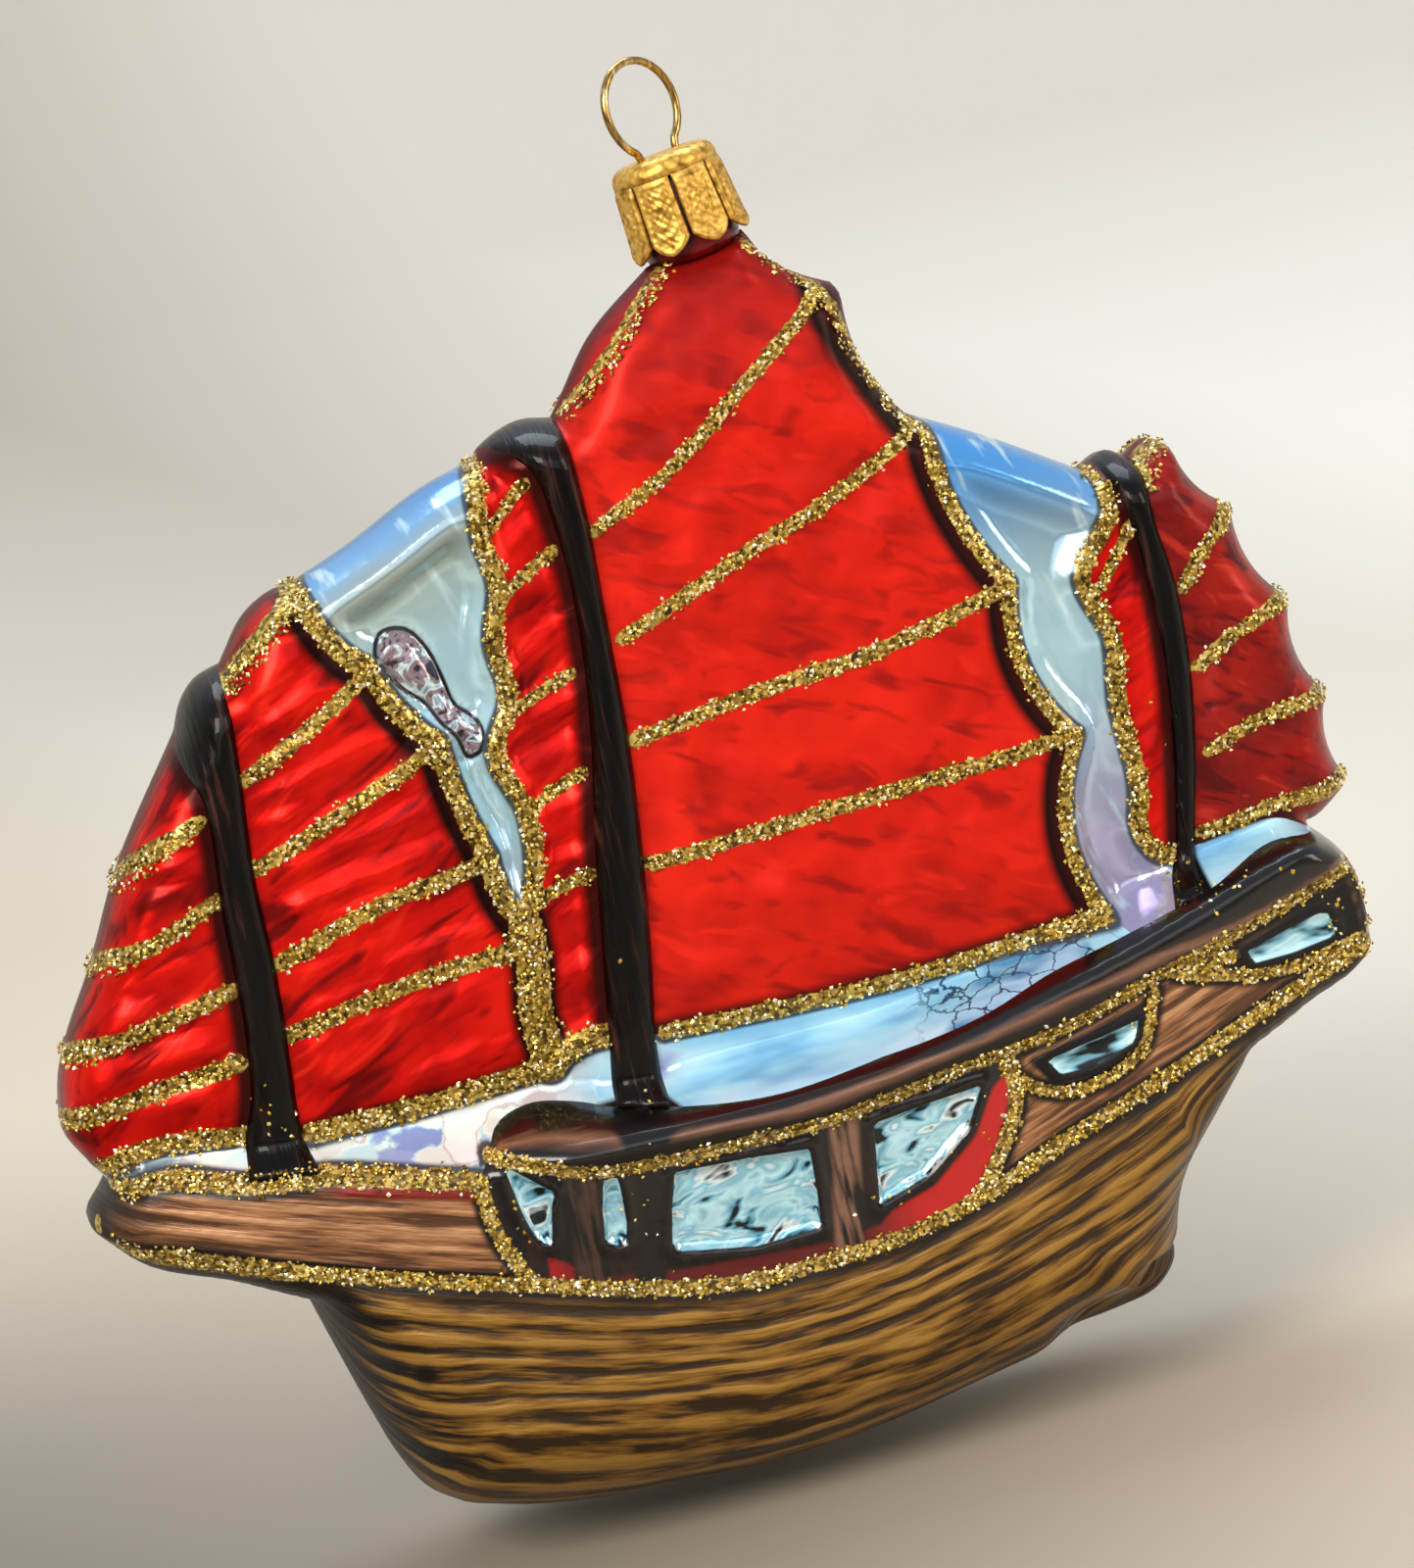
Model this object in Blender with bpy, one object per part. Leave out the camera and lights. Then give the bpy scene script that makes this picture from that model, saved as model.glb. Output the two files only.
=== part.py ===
# Blown glass ornament in the shape of a three-masted Chinese junk, with its foil cap and wire ring.
# Metres, +Z up, keel level, bow towards -X, stern towards +X, port side towards -Y.
# The origin is the inside top of the hanging ring, where a hook holds it.
#
# The real body is one glass shell, about 1 mm thick. It is divided here along its moulded and
# painted borders into one solid for each zone. A zone goes through from port to starboard.
# All drawing sizes are in millimetres. A line is a list of (x, z) points in the side view.

import math

import bmesh
import bpy
from mathutils import Matrix, Vector

MM = 0.001

# Driving dimensions, in mm
ZONE_GAP = 0.3          # between neighbouring solids
GRID = 4.5              # spacing of the cuts that carry a zone's curvature
SEAM_SHARE = 0.35       # half thickness left at the mould seam, as a share of the full one
NECK_TILT = 8.0         # degrees, the neck leans towards the bow
NECK_BASE = 17.5        # from the origin down the neck axis to the sail
NECK_TOP = 9.4
NECK_RADIUS = 4.3
NECK_BASE_RADIUS = 4.6
NECK_BORE = 3.5
NECK_FLOOR = 0.8        # glass left under the bore
NECK_FLARE = 1.6        # height over which the neck widens to its base
WIRE_RADIUS = 0.375
RING_RADIUS = 4.4       # to the middle of the wire
RING_YAW = 35.0         # degrees, the ring is turned about the neck axis
LEG_SPACING = 2.3       # each leg from the axis, where it goes through the cap
LEG_SPREAD = 2.75       # each leg from the axis, where it springs against the bore
LEG_STRAIGHT_END = 12.0  # down the neck axis, as far as the legs are parallel
LEG_BEND_END = 12.8     # from here on a leg runs out to its spread
LEG_BEND_OUT = 0.1      # how far out a leg is after its bend
LEG_END = 15.8
RING_STEPS = 28         # straight pieces in the loop
CAP_TOP = 8.4           # from the origin down the neck axis
CAP_HEIGHT = 8.8
CAP_WALL = 0.4
CAP_FLAT_RADIUS = 4.0   # the flat top inside the rounded shoulder
CAP_SHOULDER = 0.7      # height of the shoulder
CAP_CROWN_RADIUS = 4.9
CAP_HEM_RADIUS = 5.9
CAP_SLIT_TOP = 1.8      # below the cap's top
CAP_PETALS = 8
PETAL_WAIST = 0.4       # share of a petal's height where it has a row of points
PETAL_HALF_ANGLE = 20.3
PETAL_POINT = 1.7       # a petal's tip below its shoulders
WIRE_HOLE_RADIUS = 0.7
WIRE_HOLE_DEPTH = 3.0   # of the cutter, through the crown


def on_neck(down, across):
    """A point in the side view, measured down the neck axis and across it towards the stern."""
    tilt = math.radians(NECK_TILT)
    return (down * math.sin(tilt) + across * math.cos(tilt),
            -down * math.cos(tilt) + across * math.sin(tilt))


def scallop(start, end, depth, steps=5):
    """Points along an arc from start to end that is hollowed by depth, to the right of the way."""
    dx, dz = end[0] - start[0], end[1] - start[1]
    length = math.hypot(dx, dz)
    points = []
    for step in range(steps + 1):
        t = step / steps
        hollow = 4 * depth * t * (1 - t) / length
        points.append((start[0] + dx * t + dz * hollow, start[1] + dz * t - dx * hollow))
    return points


def scallops(corners):
    """A scalloped edge. Each corner is x, z and the hollow of the arc that follows it."""
    line = []
    for (x, z, depth), (next_x, next_z, _) in zip(corners, corners[1:]):
        line += scallop((x, z), (next_x, next_z), depth)
    return line


# Lines of the side view, from the top down or from the bow aft
NECK_FORE = on_neck(NECK_BASE, -NECK_BASE_RADIUS)
NECK_AFT = on_neck(NECK_BASE, NECK_BASE_RADIUS)

MAIN_PEAK_AFT = [NECK_AFT, (8.5, -19.5), (11.5, -22), (14, -23.3)]
MAIN_PEAK_FORE = [(-14, -29.2), (-12.7, -27.6), (-9, -23), NECK_FORE]
MAIN_LEECH_TOP = scallops([(14.5, -24.5, 1.3), (18, -36.6, 0)])
MAIN_LEECH = scallops([(18, -36.6, 1.4), (22.4, -53.4, 2), (25.3, -68.4, 2.3), (24, -85, 0)])
MAIN_FOOT = [(-19.2, -85), (2, -86), (24, -85)]
MAIN_MAST_HEAD = [(-21.3, -30.3), (-19, -29.2), (-16.9, -28.7), (-14, -29.2)]
MAIN_MAST_FORE = [(-21.3, -30.3), (-18, -32.6), (-17, -38), (-17.1, -48), (-18.5, -58),
                  (-20.2, -66), (-22, -76), (-23.3, -83.8)]
MAIN_MAST_AFT = [(-14, -29.2), (-13.8, -36), (-14.4, -48), (-15, -58), (-16.2, -68),
                 (-17.8, -78), (-19.2, -85)]
MAIN_LUFF = [(-22, -31.2), (-23.6, -37), (-23.2, -42), (-24.8, -47), (-24.6, -52),
             (-27, -56.5), (-25.6, -62.5), (-26.2, -68), (-28.2, -72.5)]
SAILS_MEET = [(-28.2, -72.5), (-28.3, -75), (-29.2, -80), (-29, -85.3)]
MAIN_LUFF_FOOT = [(-29, -85.3), (-26, -84.1), (-23.3, -83.8)]

FORE_HEAD = [(-48.8, -43.6), (-45.3, -39.6), (-42.7, -38.3), (-40.6, -38)]
FORE_LEECH = scallops([(-40.6, -38, 1), (-36.3, -46.5, 0.6), (-31.9, -54.5, 0.4),
                       (-30, -65.5, 0.6), (-28.2, -72.5, 0)])
FORE_FOOT = [(-52.4, -85.7), (-40, -85.8), (-29, -85.3)]
FORE_MAST_HEAD = [(-54.3, -48.6), (-53, -46), (-51.3, -44.4), (-48.8, -43.6)]
FORE_MAST_FORE = [(-54.3, -48.6), (-53.5, -54), (-54.4, -65), (-55.1, -76), (-56.2, -82),
                  (-57.3, -84.6)]
FORE_MAST_AFT = [(-48.8, -43.6), (-49.6, -52.5), (-50.7, -62), (-51, -71.5), (-51.9, -80.5),
                 (-52.4, -85.7)]
FORE_LUFF = [(-71.4, -85.1), (-73.1, -81.2), (-72.7, -78.3), (-66.2, -66.2), (-63.1, -60.5),
             (-54.3, -48.6)]
FORE_LUFF_FOOT = [(-71.4, -85.1), (-66, -83.7), (-61.7, -84), (-57.3, -84.6)]

FORE_WEB_TOP = [(-40.6, -38), (-35.3, -36.1), (-26.1, -32.2), (-22, -31.2)]
AFT_WEB_TOP = [(18, -36.6), (24.6, -40.3), (33, -45.7)]

MIZZEN_LUFF = [(33, -45.7), (33.5, -48.3), (29.2, -54.8), (30.7, -60.2), (29.9, -66.6),
               (30, -74.2), (29.3, -79.2), (30.6, -81.2), (32, -81.5)]
MIZZEN_MAST_HEAD = [(34.2, -45.2), (35.8, -44.6), (37.6, -45.6)]
MIZZEN_MAST_FORE = [(34.2, -45.2), (34.7, -49), (35.3, -57.3), (35, -65), (34, -72),
                    (32, -81.5)]
MIZZEN_MAST_AFT = [(37.6, -45.6), (37.2, -49.5), (37.8, -57.3), (37.4, -65), (36.2, -72),
                   (33.9, -81.2)]
MIZZEN_HEAD = [(37.6, -45.6), (39.9, -44.4), (41.7, -45.6)]
MIZZEN_LEECH = scallops([(41.7, -45.6, 0.9), (46.1, -52.2, 1.3), (49.6, -61.9, 1.3),
                         (51.3, -71.5, 1.2), (51.7, -80.1, 0)])
MIZZEN_FOOT = [(33.9, -81.2), (43, -81.1), (46.2, -83.1), (50, -81.6), (51.7, -80.1)]

BOW_TOP = [(-70.4, -86.6), (-65, -86.4), (-58, -88.2), (-51.6, -88.9), (-44, -90.8),
           (-38.3, -92.4)]
BOW_SLANT = [(-38.3, -92.4), (-38, -97.2), (-35.8, -103)]
RAIL_TOP = [(-36.8, -90.8), (-35.6, -89.2), (-32.3, -88.1), (-28, -88.8), (-24.4, -90),
            (-19.7, -90.9), (-9.9, -91.9), (-2.4, -91.5), (9.1, -90), (17.2, -87.9),
            (25, -86.4), (29.6, -85.4), (32.6, -84.7), (42.5, -82.3), (46.2, -83.1)]
RAIL_BOTTOM = [(-36.8, -90.8), (-32.2, -92.8), (-28.9, -94), (-21.8, -94.9), (-12.7, -95.2),
               (-6.3, -95.3), (-1.5, -94.8), (6.2, -93.9), (10.8, -93.5), (15.7, -92.9),
               (25.7, -90.6), (35.6, -88.7), (43, -86.9), (48.3, -85.4)]
CABIN_END = [(10.8, -93.5), (10.8, -97.9), (8.1, -102.8), (5.5, -106.1)]
GUNWALE = [(-72.7, -91.2), (-65.3, -93.6), (-56.9, -96.6), (-48.3, -99.3), (-35.8, -103),
           (-26.1, -105.9), (-17.3, -107.8), (-9.9, -108), (-2.4, -107.7), (5.5, -106.1),
           (15.7, -102.6), (27.9, -99.1), (40.3, -95.3), (49, -93.1)]
BOW_TIP = [(-70.4, -86.6), (-71.3, -87.8), (-72.9, -89.6), (-72.7, -91.2)]
BOW_UNDERSIDE = [(-72.7, -91.2), (-69.4, -94.9), (-61.1, -98.8), (-55.4, -102)]
STEM = [(-55.4, -102), (-54, -107.8), (-52.1, -115.2), (-50.8, -119.5), (-49.2, -122.7),
        (-46, -125.2)]
KEEL = [(-46, -125.2), (-40.7, -126.8), (-24.8, -128.7), (-15.2, -129.2), (-5.2, -128.4),
        (4.9, -126.8), (13.7, -125.4)]
RUDDER_FORE = [(25.5, -118.3), (21.4, -121.2), (13.7, -125.4)]
RUDDER_AFT = [(25.5, -118.3), (25.8, -121), (23.4, -123.9), (19.2, -124.9), (13.7, -125.4)]
TRANSOM = [(35.2, -101.9), (31.6, -106.1), (26.8, -113.7), (25.5, -118.3)]
STERN_OVERHANG = [(49, -93.1), (48.9, -94.7), (47.1, -96.4), (40.5, -99.8), (35.2, -101.9)]
STERN_END = [(48.3, -85.4), (48.9, -87), (49.2, -90), (49, -93.1)]
STERN_TOP = [(46.2, -83.1), (47.4, -84.3), (48.3, -85.4)]


def back(line):
    return list(reversed(line))


def outline(*lines):
    """A closed outline from lines laid end to end, with no point twice in a row."""
    points = []
    for line in lines:
        for point in line:
            if not points or math.dist(points[-1], point) > 0.05:
                points.append(point)
    if math.dist(points[0], points[-1]) <= 0.05:
        points.pop()
    return points


SILHOUETTE = outline(
    [NECK_FORE], MAIN_PEAK_AFT, MAIN_LEECH_TOP, AFT_WEB_TOP, MIZZEN_MAST_HEAD, MIZZEN_HEAD,
    MIZZEN_LEECH, back(MIZZEN_FOOT)[:3], STERN_TOP, STERN_END, STERN_OVERHANG, TRANSOM,
    RUDDER_AFT, back(KEEL), back(STEM), back(BOW_UNDERSIDE), back(BOW_TIP), FORE_LUFF,
    FORE_MAST_HEAD, FORE_HEAD, FORE_WEB_TOP, MAIN_MAST_HEAD, MAIN_PEAK_FORE)

# The zones: name, outline, how proud its face stands in mm, sRGB colour, roughness, metallic
RED = (0.78, 0.06, 0.05)
MAST = (0.09, 0.05, 0.04)
SILVER = (0.62, 0.76, 0.86)
BROWN = (0.42, 0.27, 0.13)
RAIL_BROWN = (0.22, 0.13, 0.09)
ZONES = [
    ("main_sail_leech", outline([NECK_FORE], MAIN_PEAK_AFT, MAIN_LEECH_TOP, MAIN_LEECH,
                                back(MAIN_FOOT), back(MAIN_MAST_AFT), MAIN_PEAK_FORE),
     0.0, RED, 0.3, 0.5),
    ("main_sail_luff", outline([MAIN_LUFF[0]], MAIN_MAST_FORE, back(MAIN_LUFF_FOOT),
                               back(SAILS_MEET), back(MAIN_LUFF)),
     -0.6, RED, 0.2, 0.5),
    ("main_mast", outline(MAIN_MAST_HEAD, MAIN_MAST_AFT, [RAIL_TOP[5], RAIL_TOP[4]],
                          back(MAIN_MAST_FORE)),
     1.0, MAST, 0.25, 0.2),
    ("fore_sail_leech", outline(FORE_HEAD, FORE_LEECH, SAILS_MEET, back(FORE_FOOT),
                                back(FORE_MAST_AFT)),
     0.0, RED, 0.2, 0.5),
    ("fore_sail_luff", outline(back(FORE_LUFF_FOOT), FORE_LUFF, FORE_MAST_FORE),
     0.0, RED, 0.2, 0.5),
    ("fore_mast", outline(FORE_MAST_HEAD, FORE_MAST_AFT, [BOW_TOP[3], BOW_TOP[2]],
                          back(FORE_MAST_FORE)),
     1.0, MAST, 0.25, 0.2),
    ("mizzen_sail_luff", outline([MIZZEN_LUFF[0]], MIZZEN_MAST_FORE, back(MIZZEN_LUFF)),
     0.0, RED, 0.2, 0.5),
    ("mizzen_mast", outline(MIZZEN_MAST_HEAD, MIZZEN_MAST_AFT, [RAIL_TOP[12], RAIL_TOP[11]],
                            back(MIZZEN_MAST_FORE)),
     0.8, MAST, 0.25, 0.2),
    ("mizzen_sail_leech", outline(MIZZEN_HEAD, MIZZEN_LEECH, back(MIZZEN_FOOT),
                                  back(MIZZEN_MAST_AFT)),
     0.0, RED, 0.2, 0.5),
    ("fore_web", outline(FORE_WEB_TOP, MAIN_LUFF, back(FORE_LEECH)),
     -2.5, SILVER, 0.08, 1.0),
    ("aft_web", outline(AFT_WEB_TOP, MIZZEN_LUFF, [RAIL_TOP[11], RAIL_TOP[10]],
                        back(MAIN_LEECH)),
     -2.0, SILVER, 0.08, 1.0),
    ("bow_deck", outline(FORE_LUFF_FOOT, [BOW_TOP[2]], back(BOW_TOP[:3])),
     0.0, SILVER, 0.08, 1.0),
    ("fore_deck", outline(FORE_FOOT, MAIN_LUFF_FOOT, back(RAIL_TOP[:5]), back(BOW_TOP[3:])),
     0.0, SILVER, 0.08, 1.0),
    ("midship_deck", outline(MAIN_FOOT, back(RAIL_TOP[5:11])),
     0.0, SILVER, 0.08, 1.0),
    ("poop_deck", outline(MIZZEN_FOOT[:3], back(RAIL_TOP[12:])),
     0.0, SILVER, 0.08, 1.0),
    ("sheer_rail", outline(RAIL_TOP, STERN_TOP, back(RAIL_BOTTOM)),
     1.0, RAIL_BROWN, 0.35, 0.3),
    ("cabin_band", outline([BOW_TOP[-1]], RAIL_BOTTOM[:9], CABIN_END, back(GUNWALE[4:10]),
                           back(BOW_SLANT)),
     -0.5, SILVER, 0.15, 0.8),
    ("bow_panel", outline(BOW_TOP, BOW_SLANT, back(GUNWALE[:5]), back(BOW_TIP)),
     0.0, BROWN, 0.4, 0.3),
    ("stern_panel", outline(RAIL_BOTTOM[8:], STERN_END, back(GUNWALE[9:]), back(CABIN_END)),
     0.0, BROWN, 0.4, 0.3),
    ("hull", outline(GUNWALE, STERN_OVERHANG, TRANSOM, RUDDER_FORE, back(KEEL), back(STEM),
                     back(BOW_UNDERSIDE)),
     0.5, BROWN, 0.4, 0.3),
    ("rudder", outline(RUDDER_AFT, back(RUDDER_FORE)),
     0.0, BROWN, 0.4, 0.3),
]

# Half thickness of the body: height and half thickness of the sails, then the fore-and-aft
# tapers as distance along x and share, then the two edges of the sloping deck as x and height
SAIL_HALF = [(-129, 11), (-84, 10.5), (-60, 9), (-30, 7), (-17, 4.5)]
SAIL_TAPER = [(-73, 0.6), (-50, 0.95), (-25, 1), (25, 1), (38, 0.9), (52, 0.75)]
HULL_HALF = 17.0
HULL_TAPER = [(-73, 0.45), (-60, 0.7), (-45, 0.9), (-30, 1), (20, 1), (52, 0.75)]
DECK_TOP = [(-73, -83.5), (-57, -85.3), (-38, -87.3), (-20, -88.2), (0, -88.2), (16, -85.8),
            (25, -84.2), (34, -81.6), (52, -80.5)]
DECK_LOW = [(-73, -87.2), (-58, -89.2), (-38, -92.7), (-20, -92.8), (0, -92.6), (16, -89.4),
            (25, -87.6), (42, -83.4), (52, -85)]
SEAM_ROUND = 3.0        # how far in from the seam the face is rounded
KEEL_ROUND = 12.0       # the same, for the hull's bilge
BILGE_HEIGHTS = (-98, -112)
BILGE_END = (15, 35)    # the bilge ends between these two places
RUDDER_HEIGHTS = (-116, -121)
RUDDER_START = (8, 16)  # the hull narrows to the rudder between these two places
RUDDER_SHARE = 0.35     # the rudder's share of the hull's half thickness


def along(table, at):
    """A straight-line reading of a table of (place, value) rows, in rising order of place."""
    if at <= table[0][0]:
        return table[0][1]
    for (low, low_value), (high, high_value) in zip(table, table[1:]):
        if at <= high:
            return low_value + (high_value - low_value) * (at - low) / (high - low)
    return table[-1][1]


def ease(low, high, at):
    t = min(1.0, max(0.0, (at - low) / (high - low)))
    return t * t * (3 - 2 * t)


def from_seam(x, z):
    """Distance in the side view from a point to the silhouette."""
    nearest = math.inf
    for (ax, az), (bx, bz) in zip(SILHOUETTE, SILHOUETTE[1:] + SILHOUETTE[:1]):
        dx, dz = bx - ax, bz - az
        t = ((x - ax) * dx + (z - az) * dz) / (dx * dx + dz * dz)
        t = min(1.0, max(0.0, t))
        nearest = min(nearest, math.hypot(x - ax - t * dx, z - az - t * dz))
    return nearest


def half_thickness(x, z, proud):
    """Half the body's thickness at a point of the side view."""
    sail = along(SAIL_HALF, z) * along(SAIL_TAPER, x)
    hull = HULL_HALF * along(HULL_TAPER, x)
    top, low = along(DECK_TOP, x), along(DECK_LOW, x)
    full = sail + (hull - sail) * ease(top, low, z) + proud
    rudder = ease(*RUDDER_HEIGHTS, z) * ease(*RUDDER_START, x)
    full *= 1 - (1 - RUDDER_SHARE) * rudder
    bilge = ease(*BILGE_HEIGHTS, z) * (1 - ease(*BILGE_END, x))
    reach = SEAM_ROUND + (KEEL_ROUND - SEAM_ROUND) * bilge
    depth = min(1.0, from_seam(x, z) / reach)
    rounding = math.sqrt(1 - (1 - depth) ** 2)
    return full * (SEAM_SHARE + (1 - SEAM_SHARE) * rounding)


def shrunk(points, by):
    """An outline moved inwards by a small distance, for points that run clockwise in x and z."""
    area = sum(a[0] * b[1] - b[0] * a[1] for a, b in zip(points, points[1:] + points[:1]))
    turn = 1.0 if area > 0 else -1.0
    moved = []
    for before, point, after in zip(points[-1:] + points[:-1], points, points[1:] + points[:1]):
        first = Vector(point) - Vector(before)
        second = Vector(after) - Vector(point)
        first_in = Vector((-first.y, first.x)).normalized() * turn
        second_in = Vector((-second.y, second.x)).normalized() * turn
        inward = first_in + second_in
        inward *= 2 / max(inward.length_squared, 0.8)
        moved.append(Vector(point) + inward * by)
    return moved


def material(name, colour, roughness, metallic):
    made = bpy.data.materials.new(name)
    made.use_nodes = True
    shader = made.node_tree.nodes["Principled BSDF"]
    shader.inputs["Base Color"].default_value = (*colour, 1)
    shader.inputs["Roughness"].default_value = roughness
    shader.inputs["Metallic"].default_value = metallic
    made.diffuse_color = (*colour, 1)
    return made


def new_object(name, data, finish, parent=None):
    data.materials.append(finish)
    made = bpy.data.objects.new(name, data)
    made.parent = parent
    bpy.context.scene.collection.objects.link(made)
    return made


def cut_into_grid(bm, points):
    """Cuts a flat outline along x and z, so that it can take a curved face."""
    for axis in (0, 2):
        low = min(point[axis // 2] for point in points)
        high = max(point[axis // 2] for point in points)
        normal = (1, 0, 0) if axis == 0 else (0, 0, 1)
        for step in range(math.ceil(low / GRID), math.ceil(high / GRID)):
            place = [0, 0, 0]
            place[axis] = step * GRID
            geometry = bm.verts[:] + bm.edges[:] + bm.faces[:]
            bmesh.ops.bisect_plane(bm, geom=geometry, dist=0.02, plane_co=place, plane_no=normal)


def zone_block(name, points, proud):
    """One zone of the glass body, from its outline in the side view."""
    bm = bmesh.new()
    corners = [bm.verts.new((x, 0, z)) for x, z in shrunk(points, ZONE_GAP / 2)]
    bm.faces.new(corners)
    cut_into_grid(bm, points)
    bmesh.ops.dissolve_degenerate(bm, dist=0.02, edges=bm.edges)
    bmesh.ops.triangulate(bm, faces=bm.faces)
    port = bm.verts[:]
    grown = bmesh.ops.extrude_face_region(bm, geom=bm.faces[:])
    starboard = [item for item in grown["geom"] if isinstance(item, bmesh.types.BMVert)]
    for side, verts in ((-1, port), (1, starboard)):
        for vert in verts:
            vert.co.y = side * half_thickness(vert.co.x, vert.co.z, proud)
    bmesh.ops.recalc_face_normals(bm, faces=bm.faces)
    bmesh.ops.scale(bm, vec=(MM, MM, MM), verts=bm.verts)
    mesh = bpy.data.meshes.new(name)
    bm.to_mesh(mesh)
    bm.free()
    return mesh


def make_glass_body():
    for name, points, proud, colour, roughness, metallic in ZONES:
        mesh = zone_block(name, points, proud)
        new_object(name, mesh, material(name, colour, roughness, metallic))


def turned(name, profile, segments):
    """A closed body turned about Z from a closed profile of (radius, height) points."""
    bm = bmesh.new()
    verts = [bm.verts.new((radius, 0, height)) for radius, height in profile]
    edges = [bm.edges.new(pair) for pair in zip(verts, verts[1:])]
    bmesh.ops.spin(bm, geom=verts + edges, cent=(0, 0, 0), axis=(0, 0, 1),
                   angle=math.tau, steps=segments, use_merge=True)
    bmesh.ops.remove_doubles(bm, verts=bm.verts, dist=0.001)
    bmesh.ops.recalc_face_normals(bm, faces=bm.faces)
    bmesh.ops.scale(bm, vec=(MM, MM, MM), verts=bm.verts)
    mesh = bpy.data.meshes.new(name)
    bm.to_mesh(mesh)
    bm.free()
    return mesh


def make_neck(neck):
    """The blown neck: a tube with a floor, on the peak of the main sail."""
    bottom = -(NECK_BASE - ZONE_GAP)
    floor = bottom + NECK_FLOOR
    profile = [
        (0, bottom), (NECK_BASE_RADIUS, bottom), (NECK_RADIUS, bottom + NECK_FLARE),
        (NECK_RADIUS, -NECK_TOP), (NECK_BORE, -NECK_TOP), (NECK_BORE, floor), (0, floor)]
    new_object("glass_neck", turned("glass_neck", profile, 32),
               material("glass_neck", RED, 0.2, 0.5), neck)


def on_cap(depth, angle):
    """A point of the cap's outer face at a depth below its top."""
    share = depth / CAP_HEIGHT
    radius = CAP_CROWN_RADIUS + (CAP_HEM_RADIUS - CAP_CROWN_RADIUS) * share
    return Vector((radius * math.cos(angle), radius * math.sin(angle), -CAP_TOP - depth))


def make_cap(neck):
    """The stamped foil cap: a crown with two wire holes and eight petals over the neck."""
    bm = bmesh.new()
    petal_shares = (-1, -0.5, 0, 0.5, 1)
    columns = []
    for petal in range(CAP_PETALS):
        for share in petal_shares:
            angle = math.tau * petal / CAP_PETALS + math.radians(PETAL_HALF_ANGLE) * share
            columns.append((angle, PETAL_POINT * abs(share)))
    crown = [bm.verts.new((CAP_FLAT_RADIUS * math.cos(angle), CAP_FLAT_RADIUS * math.sin(angle),
                           -CAP_TOP)) for angle, _ in columns]
    bm.faces.new(crown)
    band_rows = [crown]
    for depth in (CAP_SHOULDER, CAP_SLIT_TOP):
        band_rows.append([bm.verts.new(on_cap(depth, angle)) for angle, _ in columns])
    petal_rows = [band_rows[-1]]
    for share in (PETAL_WAIST, 1.0):
        row = []
        for angle, short in columns:
            depth = CAP_SLIT_TOP + (CAP_HEIGHT - short - CAP_SLIT_TOP) * share
            row.append(bm.verts.new(on_cap(depth, angle)))
        petal_rows.append(row)
    for rows, slit in ((band_rows, False), (petal_rows, True)):
        for upper, lower in zip(rows, rows[1:]):
            for column in range(len(columns)):
                last_of_petal = column % len(petal_shares) == len(petal_shares) - 1
                if slit and last_of_petal:
                    continue
                after = (column + 1) % len(columns)
                bm.faces.new((upper[column], lower[column], lower[after], upper[after]))
    bmesh.ops.recalc_face_normals(bm, faces=bm.faces)
    bmesh.ops.scale(bm, vec=(MM, MM, MM), verts=bm.verts)
    mesh = bpy.data.meshes.new("ornament_cap")
    bm.to_mesh(mesh)
    bm.free()
    cap = new_object("ornament_cap", mesh,
                     material("ornament_cap", (0.83, 0.63, 0.25), 0.3, 1.0), neck)
    wall = cap.modifiers.new("wall", "SOLIDIFY")
    wall.thickness = CAP_WALL * MM
    wall.offset = -1
    yaw = math.radians(RING_YAW)
    for side in (-1, 1):
        hole = bmesh.new()
        place = Matrix.Translation((side * LEG_SPACING * MM * math.cos(yaw),
                                    side * LEG_SPACING * MM * math.sin(yaw), -CAP_TOP * MM))
        bmesh.ops.create_cone(hole, cap_ends=True, segments=12, radius1=WIRE_HOLE_RADIUS * MM,
                              radius2=WIRE_HOLE_RADIUS * MM, depth=WIRE_HOLE_DEPTH * MM,
                              matrix=place)
        hole_mesh = bpy.data.meshes.new("wire_hole")
        hole.to_mesh(hole_mesh)
        hole.free()
        cutter = bpy.data.objects.new("wire_hole_cutter", hole_mesh)
        cutter.hide_render = True
        cutter.display_type = "WIRE"
        cutter.parent = neck
        bpy.context.scene.collection.objects.link(cutter)
        cut = cap.modifiers.new("wire_hole", "BOOLEAN")
        cut.operation = "DIFFERENCE"
        cut.solver = "EXACT"
        cut.object = cutter


def ring_path():
    """The wire's middle line in its own plane: up one leg, round the loop and down the other."""
    centre = -(RING_RADIUS - WIRE_RADIUS)
    half_opening = math.asin(LEG_SPACING / RING_RADIUS)
    loop = []
    for step in range(RING_STEPS + 1):
        turn = half_opening + (math.tau - 2 * half_opening) * step / RING_STEPS
        loop.append((-math.sin(turn) * RING_RADIUS, centre - math.cos(turn) * RING_RADIUS))
    leg = [(LEG_SPREAD, -LEG_END), (LEG_SPACING + LEG_BEND_OUT, -LEG_BEND_END),
           (LEG_SPACING, -LEG_STRAIGHT_END), (LEG_SPACING, -CAP_TOP)]
    start = [(-across, height) for across, height in leg]
    return start + loop + back(leg)


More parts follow.
